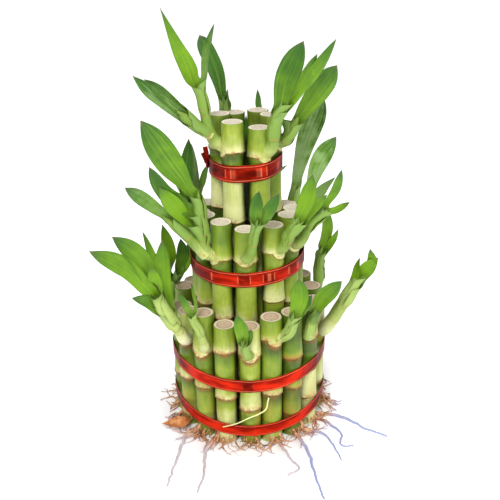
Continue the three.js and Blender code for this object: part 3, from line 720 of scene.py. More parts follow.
# Blades: a leaf starts as a sheath round its stem, opens, widens and comes to a point.
bladeForm = {
    "points": 30, "steps": 48, "sheath": 9, "clearance": 0.22, "layer": 0.32, "tip": 0.03, "halfThick": 0.16,
    "rib": 1.2, "lap": 0.1, "footRoll": 3.3, "roll": 0.6, "wave": 0.6, "opening": 8, "turnAway": 0.8,
    "narrowing": 0.14, "taper": 2.6,
}


def makeBladeTree():
    form = bladeForm
    g, given = newTree("blade", {
        "Float": ["Width", "Belly", "Roll", "Whole", "Sheath", "Opening", "Stem", "Clasp", "Twist", "Wave",
                  "Taper", "Seed", "Tone", "Pale", "Cream"],
        "Vector": ["Facing", "Mouth"], "Material": ["Skin"]})
    tube, rail, around = flatSkin(g, given["Geometry"], form["points"])
    along = g.named("along")
    sheath, opening = given["Sheath"], given["Opening"]
    across = g.calc("COSINE", around)
    face = g.calc("SINE", around) * -1
    ahead = g.calc("NORMALIZE", rail.out("Heading"))
    facing = g.choose(g.smooth(along, sheath, sheath + opening * 3), given["Mouth"], given["Facing"])
    level = g.calc("NORMALIZE", facing - ahead * g.calc("DOT_PRODUCT", ahead, facing))
    side = g.calc("CROSS_PRODUCT", ahead, level)
    angle = given["Twist"] * g.smooth(along, sheath, 1)
    up = level * g.calc("COSINE", angle) + side * g.calc("SINE", angle)
    side = g.calc("CROSS_PRODUCT", ahead, up)

    rise = g.smooth(along, sheath, given["Belly"])
    fall = 1 - g.calc("MAXIMUM", (along - given["Belly"]) / (1 - given["Belly"]), 0) ** given["Taper"]
    clasp = g.choose(g.smooth(along, 0, sheath * 0.3), given["Stem"], given["Clasp"])
    clasp = clasp * (1 - g.smooth(along, sheath * 0.3, sheath + opening * 0.5) * form["narrowing"])
    half = g.choose(rise, clasp, given["Width"] * 0.5) * g.calc("MAXIMUM", fall, form["tip"])
    closed = 1 - g.smooth(along, sheath, sheath + opening)
    behind = 1 - g.smooth(along, sheath, sheath + opening * 2.5)
    roll = given["Roll"] * (1 - along * 0.5)
    roll = roll + (form["footRoll"] - roll) * closed
    bend = half / g.calc("SINE", g.calc("MINIMUM", roll, turn / 4)) * (1 + across * closed * form["lap"])
    turned = roll * across
    right = bend * g.calc("SINE", turned)
    high = bend * (1 - g.calc("COSINE", turned)) - clasp * behind
    ripple = g.noise(g.join(along * 5 + given["Seed"] * 9, across * 0.8, given["Seed"])) - 0.5
    high = high + ripple * given["Wave"] * across ** 2 * (1 - behind) * 2
    rib = g.hump(across, 0, 0.12) * form["rib"] * (1 - along)
    thick = form["halfThick"] * (1 + rib) * g.smooth(along, 1.1, 0.8)
    inner = up * g.calc("COSINE", turned) - side * g.calc("SINE", turned)
    shaped = g.move(tube, "Position", rail.out("Place") + side * right + up * high + inner * (face * thick))
    return closeTree(g, endTree(g, shaped, given["Skin"], {
        "along": along, "across": across, "face": face, "tone": given["Tone"], "open": 1 - closed,
        "pale": given["Pale"], "cream": given["Cream"], "reach": along * given["Whole"],
        "low": g.smooth(along, sheath + opening * 1.6, sheath * 0.2)}))


def blade(foot, middle, tip, width, facing, belly=0.5, **more):
    return {"path": [foot, middle, tip], "width": width, "facing": facing, "belly": belly, **more}


def stem(path, foot, tip):
    return {"path": path, "foot": foot, "tip": tip}


def shoot(stems, blades, tone=0.62, cream=0):
    return {"stems": stems, "blades": blades, "tone": tone, "cream": cream}


# Shoots by cane. Points go outwards, to the right and up from the cane's axis at its top node.
# A blade: its foot, middle and tip, its width, the bearing it faces and where it is widest.
shoots = {
    "top_2": shoot([
        stem(((0.5, -4, 2), (4.5, -7, 5.5), (9, -7.4, 12), (11, -8.6, 25), (11, -10, 32)), 3.8, 2.3),
        stem(((8, -7, 9), (14, -11, 14.5), (20, -17, 22)), 3, 2.6)], [
        blade((11, -9.5, 28), (17, -16, 48), (22, -21, 66), 9.2, 15, 0.26, taper=1.1, tone=0.72),
        blade((10.5, -9.5, 29), (6, -9, 44), (3, -6, 58), 6.5, -50, tone=0.5, pale=0.4),
        blade((14, -11, 14), (24, -20, 27), (34, -29, 39), 6.6, -25, 0.7, roll=1.7, tone=0.3, pale=0.5,
              taper=1.8),
        blade((16, -13, 18), (24, -20, 29), (30, -26, 37), 5.2, 20, 0.6, roll=1.3, tone=0.35, pale=0.2)]),
    # The shoots of top_6 and top_5 stand behind the top ring; tone 0 keeps them dark as painted shade.
    "top_6": shoot([stem(((1, 2, 1), (5, 4, 6), (6, 3, 16), (6, 3, 22)), 3.4, 2.2)], [
        blade((6, 3, 17), (9, 5, 34), (16, 10, 50), 8.2, -15, 0.6, taper=5),
        blade((5, 2, 15), (5, 1, 20), (5, 0, 25), 3.5, 60)], tone=0),
    "top_3": shoot([stem(((2, 1, 1.5), (6, 3, 5), (6.5, 4, 15), (7, 7, 24)), 4, 2.6)], [
        blade((6.5, 5, 17), (9, 9, 35), (15, 14, 53), 11, -20, 0.6),
        blade((7, 6, 19), (11, 17, 35), (12, 24, 46), 7.5, 45),
        blade((7, 8, 22), (12, 22, 38), (15, 32, 52), 6, 20)]),
    "top_4": shoot([stem(((2, -1, 1.5), (7, -3, 3), (10, -2, 8), (13, -2, 14)), 3.8, 2.9)], [
        blade((11, -2, 9), (21, -1, 24), (31, 1, 37), 11, 25, 0.65),
        blade((9, -2, 8), (6, 0, 14), (4, 1, 22), 5, 80)]),
    "top_5": shoot([stem(((2, 1, 1), (5, 2, 6), (5, 2, 12)), 3.2, 1.6)], [
        blade((5, 2, 9), (5.5, 2.5, 16), (7, 4, 23), 3.5, 30)], tone=0),
    "middle_2": shoot([
        stem(((2, -2, 1.5), (7, -4.5, 4), (9, -4.6, 14), (10.5, -4.2, 25), (11, -4.5, 36)), 3.9, 2.9),
        stem(((8, -4, 3), (14, -9, 13), (22, -17, 25)), 3.2, 2.4)], [
        blade((18, -13, 20), (26, -21, 32), (34, -28, 41), 6.6, -30, 0.66, roll=0.9, pale=0.3),
        blade((11, -4.5, 31), (21, -12.9, 52), (28, -21, 71), 12.5, 5, 0.6, tone=0.5),
        blade((11, -5, 23), (20, -14, 35), (27, -19, 50), 9, -30, 0.62, tone=0.35),
        blade((11.5, -5.7, 18), (20, -11.8, 30.5), (24, -16.6, 39.7), 8.2, -10, 0.55, tone=0.9)]),
    "middle_12": shoot([stem(((2, 0, 1), (6, 0, 4), (7, -1, 14), (7, -1, 22)), 3.4, 2.2)], [
        blade((7, -1, 16), (6, -2, 37), (4, -3, 51), 7.5, 30),
        blade((7, -1, 16), (11, 0, 32), (12, -1, 46), 4.5, -60)], tone=0.1),
    "middle_3": shoot([stem(((2, 0, 2.5), (7, 1, 3.5), (9.5, 3, 8), (10, 4, 15), (10, 6, 24)), 3.7, 1.9)], [
        blade((10, 5, 20), (10, 5.5, 29), (9.5, 7, 38), 6.2, -15, 0.5, tone=0.35),
        blade((10, 6, 20), (8, 11, 27), (5, 16, 35), 6, 35, 0.5, tone=0.35)]),
    "middle_4": shoot([stem(((2, 1, 1), (7, 1, 3.5), (10, 3, 12), (12, 6, 19)), 3.6, 2.6)], [
        blade((11, 5, 15), (14, 9, 27), (16, 11, 40), 7.5, -10),
        blade((11, 6, 14), (12, 15, 22), (13, 22, 27), 6, 70)]),
    "middle_5": shoot([stem(((2, -1, 1), (7, -2, 2), (11, 0, 10), (14, 3, 15), (18, 7, 18)), 3.4, 2.2)], [
        blade((15, 4, 15), (20, 8, 26), (23, 10, 38), 5.5, 20),
        blade((16, 5, 16), (21, 10, 18), (26, 14, 21), 4, -20)]),
    "middle_6": shoot([stem(((2, 0, 1), (6, 1, 7), (8, 2, 16), (9, 2, 24)), 3.4, 2.4)], [
        blade((8.5, 2, 18), (12, 4, 36), (21, 7, 49), 9.5, 35, 0.6, pale=0.9, tone=0.6),
        blade((8, 2, 14), (14, -1, 24), (20, -4, 32), 6, 80)]),
    "middle_7": shoot([stem(((2, 1, 1), (5, 2, 7), (6, 3, 15), (7, 2, 24)), 3.5, 2.8)], [
        blade((6.5, 2, 20), (13, 3, 44), (21, -1, 67), 11, 20, 0.7, pale=1.1, tone=0.5),
        blade((6, 3, 14), (12, 7, 24), (19, 12, 33), 6.5, 140)]),
    "base_2": shoot([stem(((2, 3, 1), (6, 7, 4), (9, 8.5, 10), (15, 9, 20), (19, 8, 31)), 3.8, 2.9)], [
        blade((16.5, 8.5, 23.5), (32, 7, 49), (48, 3, 60), 9.6, -20, 0.62, tone=0.75),
        blade((18, 8, 28), (26, 7, 52), (37, 4, 65), 10.4, 15, 0.6, tone=0.65),
        blade((17.5, 8, 26), (19, 5, 49), (22, 3, 64), 6.5, 50),
        blade((12, 8, 17), (14.5, 5.5, 38), (13, 4, 58), 7.8, 15, 0.6, twist=0, tone=0.8, sheath=5),
        blade((18.5, 8, 30), (21, 12, 41), (23, 12, 50), 6.5, 5, tone=0.9),
        blade((15, 9, 20), (24, 8, 30), (31, 6, 33), 6, 30, tone=0.5)], cream=1.5),
    "base_3": shoot([stem(((1.5, 1.5, 1.5), (5, 5, 5), (7, 4, 14), (9, 1, 23)), 3.3, 1.7)], [
        blade((8.5, 2, 19), (10.5, -1, 28), (13, -3, 35), 3.6, 20),
        blade((8.5, 2, 19), (7.5, 2, 30), (7, 0, 39), 3.4, -40)], cream=0.7),
    "base_5": shoot([stem(((2, 0, 1.5), (7, -1.5, 3), (8.5, -3, 8), (8.5, -3, 12)), 3.6, 2)], [
        blade((8.5, -3, 8), (8.5, -4, 18), (7, -6, 25), 6.6, 0, 0.5, tone=0.7),
        blade((8.5, -2.5, 8), (8.5, -1, 13), (8, 1, 17), 4.6, 30, tone=0.6)], cream=0.3),
    "base_6": shoot([stem(((1.5, 1, 1), (5, 5, 2), (7, 7.5, 7), (7.5, 9, 13)), 3.4, 2.6)], [
        blade((7, 8, 9), (8.5, 11, 21), (8, 11, 33), 8.6, 0, 0.62, tone=0.8),
        blade((7, 9, 11), (8, 14, 18), (7.5, 18, 23), 5, 40)], cream=0.5),
    "base_8": shoot([stem(((1.5, -2.5, 2.8), (4.8, -7, 3.4), (5.3, -6, 10.5), (7, -4, 17.5)), 3.4, 2.6)], [
        blade((5.3, -5.4, 11.5), (10, -3, 23.5), (18, 1, 33.5), 8.2, 10, 0.6, tone=0.7),
        blade((5.2, -6, 9.5), (9, -8, 14.5), (13, -10, 20.5), 4, 50)], cream=0.5),
    "base_9": shoot([stem(((2, -1, -2), (5, -5, -1), (9, -6, 5), (14, -7, 15), (22, -6, 29)), 4, 3.5)], [
        blade((19, -6, 24), (26, -6, 35), (31, -5, 41), 7.5, 15),
        blade((21, -6, 28), (28, -5, 38), (27, -6, 46), 5.5, -15),
        blade((16, -7, 20), (20, -7.5, 32), (22, -8, 42), 5, -50),
        blade((13, -6, 13), (18, -3, 18), (23, -1, 23), 4, 40)], tone=0.9, cream=0.7),
    "base_10": shoot([stem(((2, 2, 1), (5, 5, 5), (7, 7, 13), (7, 8, 22), (9, 8, 31)), 3.2, 2.3)], [
        blade((8, 8, 25), (11, 7, 41), (9, 8, 54), 6, 10),
        blade((8, 8, 24), (14, 6, 34), (17, 6, 40), 4, 30),
        blade((7, 8, 18), (11, 14, 27), (16, 19, 34), 6, 150)]),
    "base_18": shoot([stem(((2, 0, 1), (7, -1, 5), (8, -2, 13), (4.5, -2, 20)), 3.6, 2.2)], [
        blade((5, -2, 17), (1, -1.5, 29), (0.5, 0.5, 41), 7, 20),
        blade((5, -3, 17), (-1, -4, 27), (-2.5, -3.5, 38), 5, -30),
        blade((7, -1, 13), (6, 4, 33), (8, 6.5, 51), 8, 40)]),
}

# Shoots on the far side: the cane, the shoot it follows and whether it is mirrored.
farShoots = {
    "middle_9": ("middle_4", -1), "middle_11": ("middle_4", -1), "base_12": ("base_8", -1),
    "base_14": ("base_10", 1), "base_16": ("base_8", 1),
}


# Shoots on the far side take a low tone, dark as painted shade.
shootForm = {
    "points": 40, "sides": 20, "lumps": (0.2, 2.5), "behindShadeTone": 0.25, "bare": 0.92, "widest": 0.46,
    "closeFrom": 0.72, "closeOver": 0.28, "closeBy": 0.92, "closePower": 1.4,  # the stem's closed tip
    "faceUp": 0.45, "twist": (-0.35, 0.35), "tones": (-0.3, 0.35),
}


def pathLength(path):
    return sum((b - a).length for a, b in zip(path, path[1:]))


def stemRadii(foot, tip):  # a stem's widths for its sheaths, and its own radii, which close at the tip
    form = shootForm
    parts = [i / (form["points"] - 1) for i in range(form["points"])]
    widths = [(tip + (foot - tip) * (1 - t) ** 2) * form["bare"] for t in parts]
    ends = [max((t - form["closeFrom"]) / form["closeOver"], 0) ** form["closePower"] for t in parts]
    return widths, [width * (1 - form["closeBy"] * end) for width, end in zip(widths, ends)]


def nearestOnStem(lines, foot):  # the stem's number and the place on its line
    return min(((point - foot).length, number, i) for number, line in enumerate(lines)
               for i, point in enumerate(line))[1:]


def shootMeshes(cane, rng):
    like, side = farShoots.get(cane["name"], (cane["name"], 1))
    if like not in shoots:
        return []
    growth, form, leaf, seen = shoots[like], shootForm, bladeForm, cane["name"] in shoots
    shared, cream = growth["tone"] if seen else form["behindShadeTone"], growth["cream"]

    def placed(path):
        return [onCane(cane, out, across * side, cane["nodes"][-1] + up) for out, across, up in path]

    made, lines, widths = [], [], []
    for one in growth["stems"]:
        wide, radii = stemRadii(one["foot"], one["tip"])
        lines.append(smoothPath(placed(one["path"]), form["points"]))
        widths.append(wide)
        made.append(growTube([(lines[-1], radii)], "shoot", rng.random(), form["sides"], (0, 8),
                             form["lumps"], shared, cream))
    paths = [placed(one["path"]) for one in growth["blades"]]
    feet = [nearestOnStem(lines, points[0]) for points in paths]
    for place, (one, points, (number, i)) in enumerate(zip(growth["blades"], paths, feet)):
        line = lines[number]
        reach = round(one.get("sheath", leaf["sheath"]) / (pathLength(line) / (len(line) - 1)))
        start = max(i - reach, 3)
        inner = sum(1 for n, (other, j) in enumerate(feet)
                    if other == number and (j, n) > (i, place) and j - reach < i)
        sheathed = [line[start], *([line[(start + i) // 2]] if i - start > 3 else [])]
        path = smoothPath([*sheathed, *points], leaf["steps"])
        whole = pathLength(path)
        sheath = ((sheathed[-1] - points[0]).length + (sheathed[0] - sheathed[-1]).length) / whole
        radius, foot = (min(widths[number][at], one["width"] * form["widest"]) for at in (i, start))
        bearing = math.radians(one["facing"]) + (0 if seen else cane["bearing"])
        facing = outward(bearing) + Vector((0, 0, form["faceUp"]))
        ahead = (line[i] - line[max(i - 4, 0)]).normalized()
        lean = (points[1] - points[0]).normalized()
        lean -= ahead * lean.dot(ahead)
        mouth = facing - lean.normalized() * min(lean.length * 3, 1) * leaf["turnAway"]
        made.append(grow(bladeTree, [(path, 1.0)], {
            "Facing": facing, "Mouth": mouth, "Width": one["width"], "Whole": whole, "Sheath": sheath,
            "Belly": sheath + one["belly"] * (1 - sheath), "Opening": leaf["opening"] / whole,
            "Stem": foot - 0.15, "Clasp": radius + leaf["clearance"] + leaf["layer"] * min(inner, 2),
            "Roll": one.get("roll", leaf["roll"]), "Twist": one.get("twist", rng.uniform(*form["twist"])),
            "Wave": leaf["wave"], "Taper": one.get("taper", leaf["taper"]), "Seed": rng.random(),
            "Tone": one.get("tone", shared + rng.uniform(*form["tones"])), "Pale": one.get("pale", 0),
            "Cream": cream, "Skin": finishes["blade"]}))
    return made


# Roots at the foot: the long ones that lie on the ground, short ones that fan out and a fine tangle.
longRoots = [
    ("base_2", [(4, 1), (10, 3), (17, 2)], 0.5),
    ("base_3", [(4, -2), (13, -5), (18.5, -1), (29, 5), (46, 15)], 0.8),
    ("base_4", [(4, -2), (15, -6), (26, -2.5), (34, 0.5), (46, 2)], 0.8),
    ("base_6", [(4, 0), (10, 1), (21, 2), (30, 3), (33, -3.5)], 0.75),
    ("base_7", [(4, 2), (15, 9), (25, 7), (36, 2.5)], 0.65),
    ("base_7", [(4, -2), (17, -5), (32, -13), (50, -23)], 0.85),
    ("base_8", [(4, 3), (8, 7), (20, 9), (32, 6.5), (44, 6)], 0.75),
    ("base_8", [(4, 0), (9, 1.5), (14, 1), (23, -4), (27, -12), (33, -10)], 0.65),
    ("base_9", [(4, -1), (8, -3.5), (13, -9)], 0.5),
    ("base_12", [(4, 0), (14, 3), (24, 1), (36, 4)], 0.6),
    ("base_14", [(4, 1), (15, 0), (25, 4)], 0.6),
    ("base_16", [(4, 0), (12, -3), (25, -2), (38, -5)], 0.6),
]
rootCounts = {"base_1": 9, "base_2": 8, "base_3": 26, "base_4": 10, "base_5": 10, "base_6": 16, "base_7": 20,
              "base_8": 20, "base_9": 10, "base_10": 10, "base_18": 9}
# Thicker bunches that droop to the ground: a cane, where they start across, their reach, lean and number.
bunches = [
    ("base_2", -3, 8, -0.3, 7), ("base_3", -1, 12, -0.5, 8), ("base_4", -3.5, 13, -0.25, 9),
    ("base_7", 3, 8, 0.3, 5), ("base_9", -2, 10, -0.1, 6), ("base_14", 0, 9, 0.3, 6),
]
longForm = {"points": 60, "foot": 1.15, "tip": 0.6, "lift": 1.5, "settle": 0.25}
shortForm = {
    "points": 24, "count": 3, "reach": 9.5, "reachWave": (5.3, 2.1), "spread": 2.6, "fan": (1, 1.2, 1.5, 1.9),
    "radius": 0.6, "foot": 0.85, "tip": 0.34, "rise": 3, "sway": 2.4, "swayWave": (3.7, 4.3),
}
bunchForm = {
    "points": 24, "radius": (0.3, 0.6), "tip": 0.3, "reach": (0.6, 1.1), "bend": 2, "heights": (3, 8, 2, 4),
}
tangleForm = {
    "points": 18, "count": 18, "reach": (1.5, 8.5), "across": 4.8, "lean": 1.5, "rise": (0.6, 5),
    "radius": (0.14, 0.5), "tip": 0.35, "arch": (0, 1.2), "end": (0.8, 1.1), "endUp": (0, 0.6),
}
rootTube = {"sides": 6, "lumps": (0.12, 1.2), "wanderLong": (1.5, 7), "wanderShort": (2.2, 3.8)}


def longRootLines(cane):
    form, lines = longForm, []
    for owner, path, thick in longRoots:
        if owner == cane["name"]:
            points = [onCane(cane, out, across, thick + 0.15 + form["lift"] * form["settle"] ** i)
                      for i, (out, across) in enumerate(path)]
            lines.append(tapered(points, form["points"], thick * form["foot"], thick * form["tip"]))
    return lines


def shortRootLines(cane, index):
    form, radius, lines = shortForm, cane["radius"], []
    low, rise, fan = form["radius"] + 0.1, form["rise"], form["fan"]
    for i in range(form["count"]):
        across = form["spread"] * (i - (form["count"] - 1) / 2)
        a, b = form["reachWave"]
        far = radius + form["reach"] * (0.6 + 0.4 * math.sin(a * index + b * i))
        a, b = form["swayWave"]
        sway = form["sway"] * math.sin(a * index + b * i)
        lines.append(tapered([
            onCane(cane, radius - 2, across * fan[0], rise + i),
            onCane(cane, radius + 1.5, across * fan[1], rise / 2 + form["radius"]),
            onCane(cane, (radius + far) / 2 + 1, across * fan[2] + sway, low),
            onCane(cane, far + 1, across * fan[3] - sway, low),
        ], form["points"], form["radius"] * form["foot"], form["radius"] * form["tip"]))
    return lines


def bunchLines(cane, rng):
    form, radius, lines = bunchForm, cane["radius"], []
    for owner, across, reach, lean, count in bunches:
        for i in range(count if owner == cane["name"] else 0):
            thick = rng.uniform(*form["radius"])
            away, bend = reach * rng.uniform(*form["reach"]), rng.uniform(-1, 1) * form["bend"]
            start = across + rng.uniform(-1, 1)
            lines.append(tapered([
                onCane(cane, radius - 1.5, start, rng.uniform(*form["heights"][:2])),
                onCane(cane, radius + away * 0.25, start + bend * 0.4, rng.uniform(*form["heights"][2:])),
                onCane(cane, radius + away * 0.65, start + lean * away * 0.6 + bend, thick + 0.6),
                onCane(cane, radius + away, start + lean * away - bend, thick),
            ], form["points"], thick, thick * form["tip"]))
    return lines


def tangleLines(cane, rng):
    form, lines = tangleForm, []
    for i in range(rootCounts.get(cane["name"], form["count"])):
        across = rng.uniform(-1, 1) * form["across"]
        start = math.sqrt(max(cane["radius"] ** 2 - across ** 2, 1)) - 0.5
        reach = rng.uniform(*form["reach"])
        lean = rng.uniform(-1, 1) * form["lean"]
        rise, thick, arch = (rng.uniform(*form[key]) for key in ("rise", "radius", "arch"))
        bent = lean * reach
        lines.append(tapered([
            onCane(cane, start, across, rise),
            onCane(cane, start + 1.3, across + lean * 0.7, rise * 0.7 + arch * 0.5),
            onCane(cane, start + reach * 0.4, across + bent * 0.35, thick + arch),
            onCane(cane, start + reach * 0.75, across + bent * 0.8 + rng.uniform(-1, 1), thick + arch * 0.3),
            onCane(cane, start + reach * rng.uniform(*form["end"]), across + bent * 1.3,
                   thick + rng.uniform(*form["endUp"])),
        ], form["points"], thick, thick * form["tip"]))
    return lines


def rootMeshes(cane, index, rng):
    long = longRootLines(cane)
    short = shortRootLines(cane, index) + bunchLines(cane, rng) + tangleLines(cane, rng)
    return [growTube(lines, "root", rng.random(), rootTube["sides"], rootTube[wander], rootTube["lumps"])
            for lines, wander in ((long, "wanderLong"), (short, "wanderShort")) if lines]


# A dry sheath by one cane's foot, a dark leaf that paints shade into a gap inside the top ring and a pale root
# over the lowest ribbon.
drySheath = {
    "cane": "base_2", "path": [(3, 4, 4), (10, 6.5, 4.5), (18.5, 0, 3)], "face": (0.2, 0.6, 1), "skin": "dry",
    "inputs": {"Width": 7.2, "Tone": 0.5, "Twist": 0.5},
}
gapShadeLeaf = {
    "cane": "top_5", "path": [(-4.7, 3.9, 142), (-4.9, 3.9, 150), (-4.6, 3.9, 159)],
    "face": (-0.85, -0.53, 0), "skin": "blade", "inputs": {"Width": 3, "Tone": 0, "Twist": 0},
}
strayForm = {
    "Whole": 20, "Belly": 0.5, "Roll": 1.1, "Sheath": 0.05, "Opening": 0.1, "Stem": 1, "Clasp": 1.4,
    "Wave": 1.2, "Taper": 1.8, "Seed": 0.3,
}
curlRoot = {
    "cane": "base_6", "radii": (0.4, 0.26), "points": 60, "seed": 0.4, "sides": 8, "lumps": (0.05, 2),
    "path": [(3.6, -2.4, 28), (4.8, -3.6, 25.5), (6, -5.1, 21.8), (6.2, -8.9, 19.9), (5.2, -13.9, 18),
             (2.9, -19.5, 14.5), (-1.1, -25.8, 11.1)],
}


def strayMeshes(cane):
    made = []
    for stray in (drySheath, gapShadeLeaf):
        if cane["name"] == stray["cane"]:
            line = smoothPath([onCane(cane, *p) for p in stray["path"]], bladeForm["steps"])
            out, across, up = stray["face"]
            facing = outward(cane["bearing"]) * out + sideways(cane["bearing"]) * across + Vector((0, 0, up))
            made.append(grow(bladeTree, [(line, 1.0)], {
                **strayForm, **stray["inputs"], "Facing": facing, "Mouth": facing,
                "Skin": finishes[stray["skin"]]}))
    form = curlRoot
    if cane["name"] == form["cane"]:
        line = tapered([onCane(cane, *p) for p in form["path"]], form["points"], *form["radii"])
        made.append(growTube([line], "root", form["seed"], form["sides"], (0, 6), form["lumps"], cream=1))
    return made


# Short dry fibres that hang on round a node.
fibreForm = {
    "count": 9, "points": 5, "sides": 4, "seed": 0.5, "length": (0.5, 1.7), "radius": (0.07, 0.15),
    "tip": 0.4, "spread": 1.7, "clear": 4, "level": (-0.3, 0.5), "lean": (-0.8, 0.8), "lift": (-0.7, 0.7),
    "proud": 0.25,
}


def fibreMeshes(cane, ties, rng):
    form, lines = fibreForm, []
    for node in cane["nodes"]:
        if any(abs(node - tie) < form["clear"] for tie in ties):  # under a ribbon
            continue
        for i in range(form["count"]):
            side = rng.uniform(-1, 1) * form["spread"]
            level, length, thick, lean, lift = (
                rng.uniform(*form[key]) for key in ("level", "length", "radius", "lean", "lift"))
            away = outward(cane["bearing"] + side)
            foot = onCane(cane, 0, 0, node + level) + away * (cane["radius"] + form["proud"])
            drift = sideways(cane["bearing"] + side) * lean + Vector((0, 0, lift))
            end = foot + (away * 0.45 + drift) * length
            bend = foot.lerp(end, 0.5) + away * 0.15
            lines.append(tapered([foot, bend, end], form["points"], thick, thick * form["tip"]))
    return [growTube(lines, "root", form["seed"], form["sides"])]


def makeCane(cane, index):
    form, name, bearing = caneForm, cane["name"], cane["bearing"]
    rng = random.Random(100 + index)
    hasShoot = name in shoots or name in farShoots
    bud = Vector((0, 0, nowhere))
    if hasShoot:
        like, side = farShoots.get(name, (name, 1))
        across, up = shoots[like]["stems"][0]["path"][0][1:]
        level = cane["nodes"][-1] + up + form["budUp"]
        bud = onCane(cane, cane["radius"], across * side * form["budAcross"], level)
    drawn = [rng.uniform(*span) for span in form["drawnTones"]]
    tones = caneTones.get(name, drawn)
    # Outward points to the lit side of a cane: painted flank shade falls away from it, turned towards the
    # front for a front cane; the core cane has none and is shaded all over.
    front = bearing * (form["frontTurn"] if abs(bearing) < form["frontTo"] else 1)
    ties = [ribbonHeight(ribbon, bearing) for ribbon in ribbons.values() if ribbon["ring"] == cane["ring"]]
    line = [onCane(cane, 0, 0, level) for level in caneLevels(cane, hasShoot)]
    # The core cane's cut end takes the cane skin, so it stays dark as painted shade inside the top ring.
    meshes = [grow(caneTree, [(line, 1.0)], {
        "Foot": onCane(cane, 0, 0, 0), "Radius": cane["radius"], "Height": cane["height"],
        "Top node": cane["nodes"][-1], "Internode": cane["internode"],
        "Bud": bud, "Bud reach": form["budReach"] if hasShoot else 0,
        "Outward": outward(front) * min(cane["axis"], 1),
        "Ties": Vector((ties + [nowhere] * 3)[:3]), "Seed": rng.random(), "Tones": Vector(tones[:3]),
        "Dusk": tones[3], "Skin": finishes["cane"], "Cut": finishes["cut" if cane["axis"] else "cane"]})]
    meshes += shootMeshes(cane, rng)
    meshes += fibreMeshes(cane, ties, rng)
    if cane["ring"] == "base":
        meshes += rootMeshes(cane, index, rng)
    meshes += strayMeshes(cane)
    piece = newPiece(f"grown_{cane['name']}", meshes)
    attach(piece, "root")
    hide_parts(f"cane_{cane['name']}")


# Ribbons: foil drawn flat from cane to cane, with a knot and two short tails.
# A dark patch is a part of the foil painted dark as reflection: its two bearings, how dark it is and its fade
# in degrees.
ribbons = {
    "foot": {
        "ring": "base", "middle": 8.7, "width": 6.4, "right": 0, "sides": 4.5, "knot": "base_13",
        "darkReflections": [(-125, -52, 0.95, 16), (52, 125, 0.95, 18), (-6, 2, 0.25, 2), (160, 172, 0.5, 5)],
    },
    "base": {
        "ring": "base", "middle": 35.4, "width": 7, "right": 0, "sides": 3, "knot": "base_15",
        "darkReflections": [(-125, -50, 0.95, 16), (48, 125, 0.9, 20), (-5, 2, 0.8, 1), (150, 156, 0.6, 2),
                   (200, 215, 0.5, 6)],
    },
    "middle": {
        "ring": "middle", "middle": 88.2, "width": 7.8, "right": 0.8, "sides": 0.8, "knot": "middle_10",
        "darkReflections": [(-120, -38, 0.95, 7), (-9, 2, 0.85, 1.5), (15, 20, 0.8, 1.5), (22, 27, 0.6, 1.5),
                   (44, 58, 0.6, 4), (61, 115, 0.95, 5), (140, 156, 0.7, 2), (172, 180, 0.8, 2),
                   (205, 222, 0.6, 3)],
    },
    "top": {
        "ring": "top", "middle": 137.6, "width": 8.4, "right": 0.8, "sides": 0.4, "knot": "top_1",
        "tailsFace": (0.25, -1, 0),
        "darkReflections": [(-120, -33, 0.95, 5), (-24, 25, 0.5, 3), (-16, 18, 0.75, 6), (34, 60, 0.8, 5),
                   (66, 120, 0.9, 5), (150, 185, 0.7, 3), (205, 218, 0.8, 3)],
    },
}
ribbonForm = {
    "points": 44, "halfThick": 0.16, "gap": 0.46, "wrinkle": 0.16, "wrinkleSize": 3.2, "edge": 0.06,
    "bow": 0.62, "perCane": 4, "step": 0.9, "seeds": (0.13, 0.21), "knotRise": 0.9, "knotCentre": 0.35,
    "knotOut": 0.9, "knotAcross": 2.9, "knotShare": 0.4, "tailWidth": 2.4, "tailPoints": 20, "tailReflection": 0.12,
    "tails": [(-2.4, 7.6, 0), (3.6, 6.4, 0.25)], "tailSections": [(0.35, 0.08), (1, 0.6), (1.7, 1)],
}


def makeRibbonTree():
    form = ribbonForm
    g, given = newTree("ribbon", {"Vector": ["Centre"], "Float": ["Width", "Seed"], "Material": ["Foil"]})
    tube, rail, around = flatSkin(g, given["Geometry"], form["points"])
    place = rail.out("Place")
    across = g.calc("COSINE", around)
    face = g.calc("MAXIMUM", g.calc("MINIMUM", g.calc("SINE", around) * 3.5, 1), -1)
    away = g.calc("NORMALIZE", (place - given["Centre"]) * (1, 1, 0))
    up = g.calc("NORMALIZE", g.calc("CROSS_PRODUCT", away, rail.out("Heading")))
    crease = g.noise(place + up * (across * 1.5), form["wrinkleSize"], 3) - 0.5
    half = given["Width"] * 0.5 * (1 + (g.noise(place, 5, 2) - 0.5) * form["edge"])
    spot = place + up * (across * half) + away * (crease * form["wrinkle"] * 2 + face * form["halfThick"])
    # The line's thick values carry how dark the foil's painted reflection is.
    return closeTree(g, endTree(g, g.move(tube, "Position", spot), given["Foil"], {
        "along": rail.out("Length"), "across": across, "tone": given["Seed"], "panel": g.named("thick")}))


def makeKnotTree():
    g, given = newTree("knot", {
        "Vector": ["Place", "Out", "Side", "Size"], "Float": ["Seed"], "Material": ["Foil"]})
    ball = g.node("GeometryNodeMeshUVSphere", {}, {"Segments": 32, "Rings": 20, "Radius": 1})
    place = g.node("GeometryNodeInputPosition")
    x, y, z = g.parts(place)
    sizeX, sizeY, sizeZ = g.parts(given["Size"])
    pinch = 0.55 + g.calc("ABSOLUTE", x) * 0.45
    crease = 1 + (g.noise(place * (3, 1, 0.6) + g.join(given["Seed"] * 9, 0, 0)) - 0.5) * 0.5
    up = g.join(0, 0, z * sizeZ * pinch * crease)
    spot = given["Place"] + given["Side"] * (x * sizeX) - given["Out"] * (y * sizeY * crease) + up
    # The knot is painted darker towards its pinched middle: painted shade in the crease.
    return closeTree(g, endTree(g, g.move(ball, "Position", spot), given["Foil"], {
        "along": x * 3, "across": z, "tone": given["Seed"], "panel": g.hump(x, 0, 0.3) * 0.5}))


